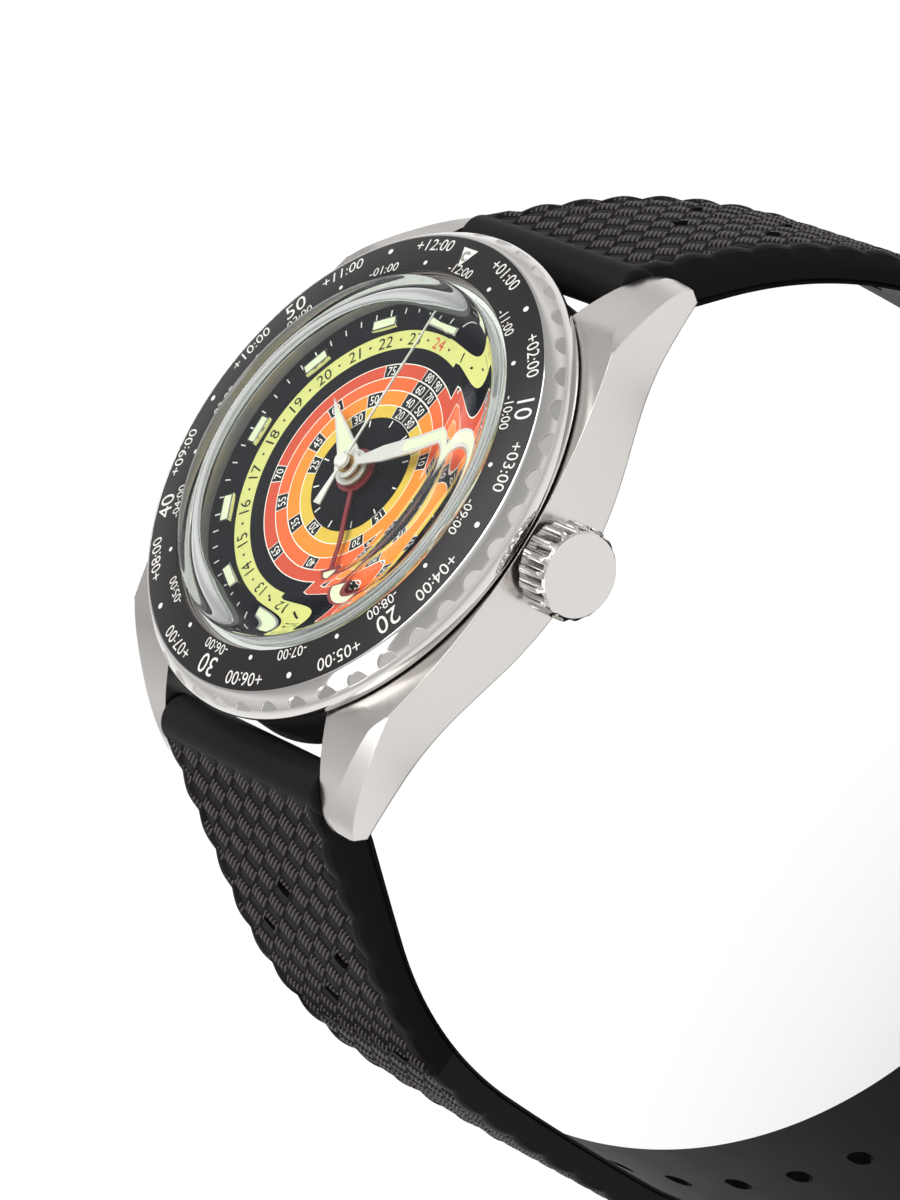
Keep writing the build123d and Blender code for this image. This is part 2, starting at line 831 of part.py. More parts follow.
# Crown on its stem, with the tube that it slides on
def build_crown():
    skirt = cyl(crown_radius, crown_inner_face, crown_outer_face)
    edge_low = chamfer(skirt.edges().filter_by(GeomType.CIRCLE).sort_by(Axis.Z)[0], crown_chamfer)
    knob = chamfer(edge_low.edges().filter_by(GeomType.CIRCLE).sort_by(Axis.Z)[-1],
                   crown_radius - crown_face_radius, crown_chamfer)
    pitch = 2 * math.pi * crown_radius / crown_tooth_count
    flute_radius = pitch / 3
    place = crown_radius + flute_radius - crown_tooth_depth
    flute = cyl(flute_radius, crown_inner_face - overrun, crown_outer_face - crown_chamfer / 2, place, 0)
    knob = knob - around(crown_tooth_count, flute)
    bore = cyl(crown_skirt_bore, crown_inner_face - overrun, crown_inner_face + crown_bore_depth)
    boss = cyl(crown_boss_radius, tube_outer_end + side_gap, crown_inner_face + crown_bore_depth)
    stem_seat = cyl(stem_radius + seat_gap, tube_outer_end, crown_outer_face - crown_end_wall)
    knob = knob - (bore - boss) - stem_seat
    return Pos(0, 0, crown_axis_height) * Rot(0, 90, 0) * knob


def build_stem():
    rod = cyl_x(stem_radius, stem_square_end, crown_outer_face - crown_end_wall - seat_gap,
                0, crown_axis_height)
    half = stem_square / 2
    square = block(stem_inner_end, stem_square_end, -half, half, crown_axis_height - half,
                   crown_axis_height + half)
    pivot_end = stem_inner_end - stem_pivot_length
    pivot = cyl_x(stem_pivot_radius, pivot_end, stem_inner_end, 0, crown_axis_height)
    return rod + square + pivot


tube_body = cyl_x(tube_radius, tube_inner_end, tube_outer_end, 0, crown_axis_height)
tube_flange = cyl_x(tube_flange_radius, case_half_width, tube_flange_end, 0, crown_axis_height)
tube_hole = cyl_x(tube_bore, tube_inner_end - overrun, tube_outer_end + overrun, 0, crown_axis_height)
write("crown", build_crown())
write("winding_stem", build_stem())
write("crown_tube", tube_body + tube_flange - tube_hole)
seal_ring = tube(crown_skirt_bore - seat_gap, tube_radius + seat_gap,
                 tube_outer_end - 2 * crown_seal_length, tube_outer_end - crown_seal_length)
write("crown_gasket", Pos(0, 0, crown_axis_height) * Rot(0, 90, 0) * seal_ring)


# Dial, applied markers and the date ring
def build_dial():
    disc = tube(dial_radius, dial_hole_radius, dial_bottom, dial_top)
    window = block(window_inner_radius, window_outer_radius, -window_width / 2, window_width / 2,
                   dial_bottom - overrun, dial_top + overrun)
    feet = []
    for heading in dial_foot_headings:
        x, y = polar(dial_foot_place, heading)
        feet.append(cyl(dial_foot_radius, dial_bottom - dial_foot_length, dial_bottom, x, y))
    return disc - window + feet


def marker_box(grow, length, low, high):
    """One hour block at 12 o'clock, grown or shrunk on every side."""
    half_length = length / 2 + grow
    half_width = marker_width / 2 + grow
    return block(-half_length, half_length, marker_place - half_width, marker_place + half_width, low, high)


def marker_lengths():
    return [noon_marker_length if index == 0 else marker_length for index in range(marker_count)]


def build_marker_frames():
    frames = []
    for index, length in enumerate(marker_lengths()):
        frame = marker_box(0, length, dial_top, dial_top + marker_height)
        recess = marker_box(-marker_wall, length, dial_top + marker_wall, dial_top + 2 * marker_height)
        frame = frame - recess
        frames.append(Rot(0, 0, -index * 360.0 / marker_count) * frame)
    return Compound(children=frames)


def build_marker_lume():
    fillings = []
    for index, length in enumerate(marker_lengths()):
        filling = marker_box(-marker_wall, length, dial_top + marker_wall,
                             dial_top + marker_height + marker_lume_rise)
        fillings.append(Rot(0, 0, -index * 360.0 / marker_count) * filling)
    return Compound(children=fillings)


def build_date_ring():
    disc = cyl(date_ring_outer_radius, date_ring_bottom, date_ring_bottom + date_ring_thickness)
    half_depth = date_tooth_depth / 2
    points = tooth_points(date_tooth_count, date_ring_inner_radius + half_depth, 0, half_depth, half_depth,
                          date_tooth_shares)
    opening = extrude(make_face(Polyline(*points, close=True)), date_ring_thickness + 2 * overrun)
    return disc - Pos(0, 0, date_ring_bottom - overrun) * opening


write("dial", build_dial())
write("hour_marker_frames", build_marker_frames())
write("hour_marker_lume", build_marker_lume())
write("date_ring", build_date_ring())
date_guard = tube(guard_outer_radius, guard_inner_radius, guard_bottom, guard_bottom + guard_thickness)
write("date_guard", date_guard)


# Hands, drawn towards 12 o'clock and then turned to the time shown
def turned_hand(flat, thickness, bottom, clock_degrees):
    return Rot(0, 0, -clock_degrees) * Pos(0, 0, bottom) * extrude(flat, thickness)


def build_hour_hand():
    half = hour_hand_width / 2
    blade = make_face(Polyline((-half, 0), (-half, hour_hub_radius), (0, hour_hand_length),
                               (half, hour_hub_radius), (half, 0), close=True))
    flat = blade + Circle(hour_hub_radius) - Circle(hour_pipe_radius + seat_gap)
    return turned_hand(flat, hour_hand_thickness, hour_hand_bottom, hour_angle)


def build_minute_hand():
    half = minute_hand_width / 2
    shoulder = minute_hand_length - minute_hand_width
    neck = half / 2
    blade = make_face(Polyline((-neck, 0), (-neck, minute_hub_radius), (-half, minute_hand_neck),
                               (-half, shoulder), (0, minute_hand_length), (half, shoulder),
                               (half, minute_hand_neck), (neck, minute_hub_radius), (neck, 0), close=True))
    flat = blade + Circle(minute_hub_radius) - Circle(cannon_radius + seat_gap)
    return turned_hand(flat, minute_hand_thickness, minute_hand_bottom, minute_angle)


def build_seconds_hand():
    half = seconds_hand_width / 2
    tail_half = seconds_tail_width / 2
    blade = make_face(Polyline((-half, 0), (-half / 2, seconds_hand_length), (half / 2, seconds_hand_length),
                               (half, 0), (half, -seconds_hub_radius), (tail_half, -seconds_tail_length),
                               (-tail_half, -seconds_tail_length), (-half, -seconds_hub_radius), close=True))
    hand = turned_hand(blade + Circle(seconds_hub_radius), seconds_hand_thickness, seconds_hand_bottom,
                       seconds_angle)
    cap_low = seconds_hand_bottom + seconds_hand_thickness
    cap = cyl(seconds_hub_radius, cap_low, cap_low + seconds_cap_height)
    cap = chamfer(cap.edges().filter_by(GeomType.CIRCLE).sort_by(Axis.Z)[-1], small_edge)
    seat = cyl(seconds_arbor_radius + seat_gap, seconds_hand_bottom - overrun, cap_low)
    return hand + cap - seat


def build_gmt_hand():
    half = gmt_hand_stem_width / 2
    arrow = gmt_arrow_width / 2
    blade = make_face(Polyline((-half, 0), (-half, gmt_arrow_start), (-arrow, gmt_arrow_start),
                               (0, gmt_hand_length), (arrow, gmt_arrow_start), (half, gmt_arrow_start),
                               (half, 0), close=True))
    flat = blade + Circle(gmt_hub_radius) - Circle(gmt_pipe_radius + seat_gap)
    return turned_hand(flat, gmt_hand_thickness, gmt_hand_bottom, gmt_angle)


write("hour_hand", build_hour_hand())
write("minute_hand", build_minute_hand())
write("seconds_hand", build_seconds_hand())
write("gmt_hand", build_gmt_hand())


# Where each arbor of the movement stands
centre = (0.0, 0.0)
crown_wheel_place = (winding_pinion_start + winding_module - winding_module * crown_wheel_teeth / 2, 0.0)
ratchet_distance = winding_module * (crown_wheel_teeth + ratchet_teeth) / 2
barrel_direction = math.degrees(math.acos(
    (barrel_distance ** 2 + crown_wheel_place[0] ** 2 - ratchet_distance ** 2)
    / (2 * barrel_distance * crown_wheel_place[0])))
barrel_place = polar(barrel_distance, barrel_direction)
third_place = polar(third_distance, third_direction)
escape_place = polar(escape_distance, escape_direction)
balance_place = (balance_place_x, balance_place_y)
minute_place = polar(motion_module_distance, motion_direction)
barrel_module = 2 * barrel_distance / (barrel_teeth + centre_pinion_teeth)
centre_module = 2 * third_distance / (centre_wheel_teeth + third_pinion_teeth)
third_module = 2 * third_distance / (third_wheel_teeth + fourth_pinion_teeth)
fourth_module = 2 * escape_distance / (fourth_wheel_teeth + escape_pinion_teeth)
cannon_module = 2 * motion_module_distance / (cannon_teeth + minute_wheel_teeth)
hour_module = 2 * motion_module_distance / (minute_pinion_teeth + hour_wheel_teeth)
idler_distance = hour_module * hour_wheel_teeth
idler_place = polar(idler_distance, idler_direction)
gmt_module = 2 * idler_distance / (idler_pinion_teeth + gmt_wheel_teeth)
lean_to_balance = math.degrees(math.atan2(balance_place[1] - escape_place[1],
                                          balance_place[0] - escape_place[0]))
pallet_step = polar(pallet_distance, lean_to_balance)
pallet_place = (escape_place[0] + pallet_step[0], escape_place[1] + pallet_step[1])
lower_pivot_end = plate_floor_bottom + (plate_floor_top - plate_floor_bottom) / 2
upper_pivot_end = bridge_bottom + (bridge_top - bridge_bottom) / 4
barrel_flange_top = barrel_bottom + seat_gap + wheel_thickness


def arbor(place, radius=None):
    """A thin arbor with a pivot in the bridge and one in the main plate."""
    x, y = place
    thick = arbor_radius if radius is None else radius
    body_low = bridge_top + running_gap
    body_high = plate_floor_bottom - running_gap
    rod = cyl(thick, body_low, body_high, x, y)
    return rod + cyl(pivot_radius, upper_pivot_end, lower_pivot_end, x, y)


# Going train
def build_barrel():
    x, y = barrel_place
    teeth = gear(barrel_teeth, barrel_module, barrel_phase, barrel_bottom + seat_gap, barrel_flange_top,
                 barrel_place)
    drum = teeth + cyl(barrel_drum_radius, barrel_bottom + seat_gap, barrel_top, x, y)
    hollow = cyl(barrel_drum_radius - barrel_wall, barrel_flange_top, barrel_top + overrun, x, y)
    bore = cyl(barrel_arbor_radius + running_gap, barrel_bottom - overrun, barrel_top + overrun, x, y)
    return drum - hollow - bore


def spiral(inner, outer, turns, strip, low, height, place):
    """A flat spiral strip with its inner end at the arbor."""
    steps = turns * spiral_steps
    inside = []
    outside = []
    for index in range(steps + 1):
        share = index / steps
        radius = inner + share * (outer - inner)
        angle = 360.0 * turns * share
        inside.append(polar(radius, angle))
        outside.append(polar(radius + strip, angle))
    near = Spline(*inside)
    far = Spline(*outside)
    outline = make_face([near, Line(inside[-1], outside[-1]), far, Line(outside[0], inside[0])])
    return Pos(place[0], place[1], low) * extrude(outline, height)


barrel_phase = 0.0
centre_pinion_phase = mesh_phase(barrel_teeth, barrel_phase, barrel_place, centre_pinion_teeth, centre)
third_pinion_phase = mesh_phase(centre_wheel_teeth, 0, centre, third_pinion_teeth, third_place)
fourth_pinion_phase = mesh_phase(third_wheel_teeth, 0, third_place, fourth_pinion_teeth, centre)
escape_pinion_phase = mesh_phase(fourth_wheel_teeth, 0, centre, escape_pinion_teeth, escape_place)
cover_low = barrel_top - wheel_thickness
barrel_cover = tube(barrel_drum_radius - barrel_wall - seat_gap, barrel_arbor_radius + running_gap,
                    cover_low, barrel_top, *barrel_place)
write("mainspring_barrel", Compound(children=[build_barrel(), barrel_cover]))
spring_outer = barrel_drum_radius - barrel_wall - mainspring_strip - 2 * seat_gap
write("mainspring", spiral(barrel_arbor_radius + mainspring_strip, spring_outer, mainspring_turns,
                           mainspring_strip, barrel_flange_top + seat_gap,
                           cover_low - barrel_flange_top - 2 * seat_gap, barrel_place))


def build_centre_wheel():
    low = barrel_bottom
    pinion = gear(centre_pinion_teeth, barrel_module, centre_pinion_phase, low,
                  low + wheel_thickness + side_gap)
    wheel_top = centre_wheel_bottom + wheel_thickness
    wheel = gear(centre_wheel_teeth, centre_module, 0, centre_wheel_bottom, wheel_top)
    rim_inner = centre_wheel_teeth * centre_module / 2 - rim_width
    wheel = spoked(wheel, rim_inner, centre_wheel_bottom, wheel_top, centre, rim_width)
    arbor_body = cyl(centre_arbor_radius, low, minute_hand_bottom - side_gap)
    bore = cyl(centre_arbor_bore, low - overrun, minute_hand_bottom + overrun)
    return pinion + wheel + arbor_body - bore


def build_third_wheel():
    pinion_low = centre_wheel_bottom - side_gap / 2
    pinion = gear(third_pinion_teeth, centre_module, third_pinion_phase, pinion_low,
                  centre_wheel_bottom + wheel_thickness + side_gap / 2, third_place)
    wheel_top = third_wheel_bottom + wheel_thickness
    wheel = gear(third_wheel_teeth, third_module, 0, third_wheel_bottom, wheel_top, third_place)
    rim_inner = third_wheel_teeth * third_module / 2 - rim_width
    wheel = spoked(wheel, rim_inner, third_wheel_bottom, wheel_top, third_place, rim_width)
    return pinion + wheel + arbor(third_place)


def build_fourth_wheel():
    pinion_top = barrel_bottom - running_gap
    pinion = gear(fourth_pinion_teeth, third_module, fourth_pinion_phase, fourth_wheel_bottom, pinion_top)
    wheel_top = fourth_wheel_bottom + wheel_thickness
    wheel = gear(fourth_wheel_teeth, fourth_module, 0, fourth_wheel_bottom, wheel_top)
    rim_inner = fourth_wheel_teeth * fourth_module / 2 - rim_width
    wheel = spoked(wheel, rim_inner, fourth_wheel_bottom, wheel_top, centre, rim_width)
    seconds_end = seconds_hand_bottom + seconds_hand_thickness - seat_gap
    rod = cyl(seconds_arbor_radius, fourth_wheel_bottom, seconds_end)
    pivot = cyl(pivot_radius, upper_pivot_end, fourth_wheel_bottom)
    return pinion + wheel + rod + pivot


def build_escape_wheel():
    x, y = escape_place
    pitch = 360.0 / escape_teeth
    points = []
    for index in range(escape_teeth):
        points.append(polar(escape_root_radius, index * pitch))
        points.append(polar(escape_radius, index * pitch + pitch / 3))
        points.append(polar(escape_radius, index * pitch + pitch / 2))
    disc = extrude(make_face(Polyline(*points, close=True)), pallet_height)
    wheel = Pos(x, y, escape_bottom) * disc
    wheel_top = escape_bottom + pallet_height
    wheel = spoked(wheel, escape_root_radius - rim_width / 2, escape_bottom, wheel_top, escape_place,
                   rim_width / 2)
    pinion = gear(escape_pinion_teeth, fourth_module, escape_pinion_phase, bridge_top + running_gap,
                  fourth_wheel_bottom + wheel_thickness + running_gap, escape_place)
    return wheel + pinion + arbor(escape_place, pivot_radius)


write("centre_wheel", build_centre_wheel())
write("third_wheel", build_third_wheel())
write("fourth_wheel", build_fourth_wheel())
write("escape_wheel", build_escape_wheel())


# Escapement and balance
def beam(start, end, width, low, high):
    """A flat bar between two plan points."""
    length = math.dist(start, end)
    heading = math.degrees(math.atan2(end[1] - start[1], end[0] - start[0]))
    bar = block(0, length, -width / 2, width / 2, low, high)
    return Pos(start[0], start[1], 0) * Rot(0, 0, heading) * bar


def build_pallet_fork():
    low, high = pallet_bottom, pallet_bottom + pallet_height
    fork = None
    for side_sign in (-1, 1):
        heading = lean_to_balance + side_sign * pallet_spread
        stone_inner = escape_radius + pallet_stone_gap
        inner = polar(stone_inner, heading)
        outer = polar(stone_inner + pallet_stone_length, heading)
        start = (escape_place[0] + inner[0], escape_place[1] + inner[1])
        end = (escape_place[0] + outer[0], escape_place[1] + outer[1])
        stone = beam(start, end, pallet_stone_width, low, high)
        arm = beam(pallet_place, end, pallet_arm_width, low, high)
        fork = stone + arm if fork is None else fork + stone + arm
    reach = polar(fork_reach, lean_to_balance)
    tip = (pallet_place[0] + reach[0], pallet_place[1] + reach[1])
    fork = fork + beam(pallet_place, tip, pallet_arm_width, low, high)
    slot_start = polar(fork_reach - pallet_stone_width, lean_to_balance)
    slot_place = (pallet_place[0] + slot_start[0], pallet_place[1] + slot_start[1])
    slot_end = (tip[0] + pallet_step[0], tip[1] + pallet_step[1])
    slot = beam(slot_place, slot_end, pallet_arm_width / 3, low - overrun, high + overrun)
    staff_low = pallet_bridge_bottom + pallet_bridge_thickness / 3
    staff = cyl(pivot_radius, staff_low, lower_pivot_end, *pallet_place)
    return fork - slot + staff


def build_pallet_bridge():
    across = polar(pallet_bridge_half, lean_to_balance + 90.0)
    ends = [(pallet_place[0] + sign * across[0], pallet_place[1] + sign * across[1]) for sign in (-1, 1)]
    top = pallet_bridge_bottom + pallet_bridge_thickness
    bridge = beam(ends[0], ends[1], pallet_bridge_width, pallet_bridge_bottom, top)
    for end in ends:
        bridge = bridge + cyl(pallet_bridge_width / 2, pallet_bridge_bottom, top, *end)
        bridge = bridge + cyl(pallet_post_radius, top, plate_floor_bottom, *end)
    return bridge - cyl(pivot_radius + running_gap, pallet_bridge_bottom - overrun, top + overrun,
                        *pallet_place)


def build_balance():
    x, y = balance_place
    low, high = balance_bottom, balance_bottom + balance_thickness
    wheel = tube(balance_radius, balance_radius - balance_rim_width, low, high, x, y)
    arm_length = balance_radius - balance_rim_width / 2
    for index in range(balance_arm_count):
        step = polar(arm_length, index * 360.0 / balance_arm_count)
        end = (x + step[0], y + step[1])
        arm_low = low + balance_thickness / 3
        wheel = wheel + beam(balance_place, end, balance_arm_width, arm_low, high)
    roller_low = high + roller_gap - seat_gap
    roller = cyl(roller_radius, roller_low, roller_low + roller_height, x, y)
    hub = cyl(balance_arm_width, low, high, x, y)
    return wheel + hub + roller + arbor(balance_place)


write("pallet_fork", build_pallet_fork())
write("pallet_bridge", build_pallet_bridge())
write("balance_wheel", build_balance())
write("hairspring", spiral(hairspring_inner_radius, hairspring_outer_radius, hairspring_turns,
                           hairspring_strip, hairspring_bottom, hairspring_height, balance_place))


# Main plate, bridges and their jewels
lower_jewels = (third_place, escape_place, pallet_place, balance_place)
upper_jewels = (third_place, escape_place, centre)
cock_jewels = (balance_place,)
screw_headings = {
    "barrel": (75.0, 15.0, 350.0),
    "train": (110.0, 160.0, 200.0),
    "cock": (262.0, 284.0),
}


def drill(shape, places, radius, low, high):
    """Plain holes along Z through a plate."""
    for x, y in places:
        shape = shape - cyl(radius, low - overrun, high + overrun, x, y)
    return shape


def screw_places(names):
    return [polar(screw_place, heading) for name in names for heading in screw_headings[name]]


def build_main_plate():
    x, y = barrel_place
    floor = tube(movement_radius, centre_arbor_radius + running_gap, plate_floor_bottom, plate_floor_top)
    wall = tube(movement_radius, plate_wall_radius, bridge_top, plate_floor_bottom)
    rim = tube(movement_radius, date_track_radius, plate_floor_top, plate_rim_top)
    track = tube(date_track_radius, date_land_outer_radius, plate_floor_top, date_track_floor)
    land = tube(date_land_outer_radius, date_land_inner_radius, plate_floor_top, date_land_height)
    plate = floor + wall + rim + track + land
    half = stem_bearing_half
    bearing = block(stem_bearing_start, stem_bearing_end, -half, half, crown_axis_height - half,
                    plate_floor_bottom)
    plate = plate + bearing
    stem_path = cyl_x(stem_radius + side_gap, plate_wall_radius - overrun, movement_radius + overrun, 0,
                      crown_axis_height)
    pivot_path = cyl_x(stem_pivot_radius + running_gap, stem_bearing_start - overrun,
                       stem_bearing_end + overrun, 0, crown_axis_height)
    pinion_tip = winding_module * winding_teeth / 2 + winding_module
    slot_end = winding_pinion_start + winding_pinion_length + side_gap
    slot = block(clutch_start - side_gap, slot_end, -pinion_tip, pinion_tip, crown_axis_height,
                 crown_axis_height + pinion_tip)
    plate = plate - stem_path - pivot_path - slot
    plate = plate - cyl(barrel_arbor_radius + running_gap, plate_floor_bottom - overrun,
                        plate_floor_top - small_edge, x, y)
    plate = drill(plate, lower_jewels, jewel_radius, plate_floor_bottom - overrun, lower_pivot_end + seat_gap
                  - overrun)
    plate = drill(plate, screw_places(("barrel", "train", "cock")), screw_radius + seat_gap, 0,
                  bridge_bottom + screw_sink + screw_head_height + screw_length + seat_gap - overrun)
    for heading in dial_foot_headings:
        foot_x, foot_y = polar(dial_foot_place, heading)
        plate = plate - cyl(dial_foot_radius + seat_gap, dial_bottom - dial_foot_length - seat_gap,
                            dial_bottom + overrun, foot_x, foot_y)
    return plate


def bridge_blank(x0, x1, y0, y1):
    disc = cyl(movement_radius - side_gap, bridge_bottom, bridge_top)
    return disc & block(x0, x1, y0, y1, bridge_bottom, bridge_top)


def sink_screws(bridge, name):
    """Counterbored holes for the bridge's screws."""
    for x, y in screw_places((name,)):
        sink_top = bridge_bottom + screw_sink + screw_head_height
        bridge = bridge - cyl(screw_head_radius + seat_gap, bridge_bottom - overrun, sink_top, x, y)
        bridge = bridge - cyl(screw_radius + seat_gap, bridge_bottom, bridge_top + overrun, x, y)
    return bridge


def seat_jewels(bridge, places):
    for x, y in places:
        bridge = bridge - cyl(jewel_radius, bridge_top - jewel_depth, bridge_top + overrun, x, y)
        bridge = bridge - cyl(pivot_radius + running_gap, bridge_bottom - overrun, bridge_top, x, y)
    return bridge


def jewel(place, low):
    return tube(jewel_radius, pivot_radius + running_gap, low, low + jewel_depth, *place)


barrel_bridge = bridge_blank(bridge_split, movement_radius, barrel_bridge_edge, movement_radius)
barrel_bridge = barrel_bridge - cyl(barrel_arbor_radius + running_gap, bridge_bottom - overrun,
                                    bridge_top + overrun, *barrel_place)
write("barrel_bridge", sink_screws(barrel_bridge, "barrel"))
train_bridge = bridge_blank(-movement_radius, bridge_split - side_gap, cock_edge + side_gap, movement_radius)
train_bridge = sink_screws(seat_jewels(train_bridge, upper_jewels), "train")
write("train_bridge", train_bridge)
cock = bridge_blank(balance_place_x - cock_half_width, balance_place_x + cock_half_width, -movement_radius,
                    cock_edge)
write("balance_cock", sink_screws(seat_jewels(cock, cock_jewels), "cock"))
write("main_plate", build_main_plate())
jewels = [jewel(place, plate_floor_bottom) for place in lower_jewels]
jewels = jewels + [jewel(place, bridge_top - jewel_depth) for place in upper_jewels + cock_jewels]
write("jewel_bearings", Compound(children=jewels))
screws = []
for x, y in screw_places(("barrel", "train", "cock")):
    screws.append(screw((x, y), bridge_bottom + screw_sink))
write("bridge_screws", Compound(children=screws))


# Keyless works and winding wheels
def build_clutch():
    """The sliding clutch with its square hole, and the winding pinion beside it."""
    half = stem_square / 2 + running_gap
    body = cyl(clutch_radius, clutch_start, clutch_start + clutch_length)
    groove_low = clutch_start + clutch_length / 4
    groove = tube(clutch_radius + overrun, clutch_groove_radius, groove_low,
                  groove_low + clutch_groove_width)
    hole = block(-half, half, -half, half, clutch_start - overrun, clutch_start + clutch_length + overrun)
    return Pos(0, 0, crown_axis_height) * Rot(0, 90, 0) * (body - groove - hole)


def build_winding_pinion():
    pitch_radius = winding_module * winding_teeth / 2
    rise = winding_module * tooth_rise_share
    fall = winding_module * tooth_fall_share
    points = tooth_points(winding_teeth, pitch_radius, 180.0 / winding_teeth, rise, fall,
                          winding_tooth_shares)
    toothed = Pos(0, 0, winding_pinion_start) * extrude(make_face(Polyline(*points, close=True)),
                                                        winding_pinion_length)
    collar = cyl(clutch_radius, clutch_start + clutch_length, winding_pinion_start)
    bore_end = winding_pinion_start + winding_pinion_length + overrun
    bore = cyl(stem_radius + running_gap, clutch_start, bore_end)
    return Pos(0, 0, crown_axis_height) * Rot(0, 90, 0) * (toothed + collar - bore)


crown_wheel_top = crown_wheel_bottom + crown_wheel_thickness
ratchet_phase = mesh_phase(crown_wheel_teeth, 0, crown_wheel_place, ratchet_teeth, barrel_place)
crown_wheel = gear(crown_wheel_teeth, winding_module, 0, crown_wheel_bottom, crown_wheel_top,
                   crown_wheel_place)
crown_stud_radius = hub_radius / 2
crown_wheel = crown_wheel - cyl(crown_stud_radius + running_gap, crown_wheel_bottom - overrun,
                                crown_wheel_top + overrun, *crown_wheel_place)
ratchet = gear(ratchet_teeth, winding_module, ratchet_phase, crown_wheel_bottom, crown_wheel_top,
               barrel_place)
arbor_rod = cyl(barrel_arbor_radius, upper_pivot_end, lower_pivot_end, *barrel_place)
ratchet_bore = cyl(barrel_arbor_radius + seat_gap, crown_wheel_bottom - overrun, crown_wheel_top + overrun,
                   *barrel_place)
write("clutch_wheel", build_clutch())
write("winding_pinion", build_winding_pinion())
write("crown_wheel", crown_wheel)
write("ratchet_wheel", ratchet - ratchet_bore)
write("barrel_arbor", arbor_rod)
stud_top = crown_wheel_top + running_gap
stud_head = cyl(2 * crown_stud_radius, stud_top, stud_top + crown_stud_radius / 4, *crown_wheel_place)
stud = cyl(crown_stud_radius, bridge_top, stud_top, *crown_wheel_place)
ratchet_radius = winding_module * ratchet_teeth / 2
pawl_gap = winding_module + side_gap
pawl_tip = polar(ratchet_radius + pawl_gap + click_pawl_radius / 2, barrel_direction + click_tip_lean)
pawl_root = polar(ratchet_radius + pawl_gap + click_pawl_length, barrel_direction + click_root_lean)
pawl_start = (barrel_place[0] + pawl_tip[0], barrel_place[1] + pawl_tip[1])
pawl_end = (barrel_place[0] + pawl_root[0], barrel_place[1] + pawl_root[1])
pawl = beam(pawl_end, pawl_start, click_pawl_radius / 2, crown_wheel_bottom, crown_wheel_top)
pawl = pawl + cyl(click_pawl_radius, crown_wheel_bottom, crown_wheel_top, *pawl_end)
pawl = pawl + cyl(pivot_radius, bridge_top, crown_wheel_bottom, *pawl_end)
write("click_pawl", pawl)


# Motion works under the dial
cannon_phase = 0.0
minute_wheel_phase = mesh_phase(cannon_teeth, cannon_phase, centre, minute_wheel_teeth, minute_place)
minute_pinion_phase = 0.0
hour_phase = mesh_phase(minute_pinion_teeth, minute_pinion_phase, minute_place, hour_wheel_teeth, centre)
idler_phase = mesh_phase(hour_wheel_teeth, hour_phase, centre, hour_wheel_teeth, idler_place)
idler_pinion_phase = 0.0
gmt_phase = mesh_phase(idler_pinion_teeth, idler_pinion_phase, idler_place, gmt_wheel_teeth, centre)
cannon_top = minute_hand_bottom + minute_hand_thickness
hour_pipe_top = hour_hand_bottom + hour_hand_thickness
gmt_pipe_top = gmt_hand_bottom + gmt_hand_thickness
hour_wheel_top = hour_wheel_level + motion_thickness
gmt_wheel_top = gmt_wheel_level + motion_thickness
cannon = gear(cannon_teeth, cannon_module, cannon_phase, motion_level, motion_level + motion_thickness)
cannon = cannon + cyl(cannon_radius, motion_level + motion_thickness, cannon_top)
cannon = cannon - cyl(centre_arbor_radius + running_gap, motion_level - overrun, cannon_top + overrun)
write("cannon_pinion", cannon)
minute_wheel = gear(minute_wheel_teeth, cannon_module, minute_wheel_phase, motion_level,
                    motion_level + motion_thickness, minute_place)
minute_wheel = minute_wheel + gear(minute_pinion_teeth, hour_module, minute_pinion_phase,
                                   motion_level + motion_thickness, hour_wheel_top + running_gap,
                                   minute_place)
minute_wheel = minute_wheel - cyl(motion_stud_radius + running_gap, motion_level - overrun,
                                  hour_wheel_top + overrun, *minute_place)
write("minute_wheel", minute_wheel)
hour_wheel = gear(hour_wheel_teeth, hour_module, hour_phase, hour_wheel_level, hour_wheel_top)
hour_wheel = hour_wheel + cyl(hour_pipe_radius, hour_wheel_top, hour_pipe_top)
hour_wheel = hour_wheel - cyl(cannon_radius + running_gap, hour_wheel_level - overrun,
                              hour_pipe_top + overrun)
write("hour_wheel", hour_wheel)
idler = gear(hour_wheel_teeth, hour_module, idler_phase, hour_wheel_level, hour_wheel_top, idler_place)
idler = idler + gear(idler_pinion_teeth, gmt_module, idler_pinion_phase, hour_wheel_top, gmt_wheel_top,
                     idler_place)
idler = idler - cyl(motion_stud_radius + running_gap, hour_wheel_level - overrun, gmt_wheel_top + overrun,
                    *idler_place)
write("gmt_idler", idler)
gmt_wheel = gear(gmt_wheel_teeth, gmt_module, gmt_phase, gmt_wheel_level, gmt_wheel_top)
gmt_wheel = gmt_wheel + cyl(gmt_pipe_radius, gmt_wheel_top, gmt_pipe_top)
gmt_wheel = gmt_wheel - cyl(hour_pipe_radius + running_gap, gmt_wheel_level - overrun,
                            gmt_pipe_top + overrun)
write("gmt_wheel", gmt_wheel)
minute_stud = cyl(motion_stud_radius, plate_floor_top, hour_wheel_top, *minute_place)
idler_stud = cyl(motion_stud_radius, plate_floor_top, gmt_wheel_top, *idler_place)
idler_seat = cyl(2 * motion_stud_radius, plate_floor_top, hour_wheel_level - running_gap, *idler_place)
write("wheel_studs", Compound(children=[minute_stud, idler_stud + idler_seat, stud_head + stud]))


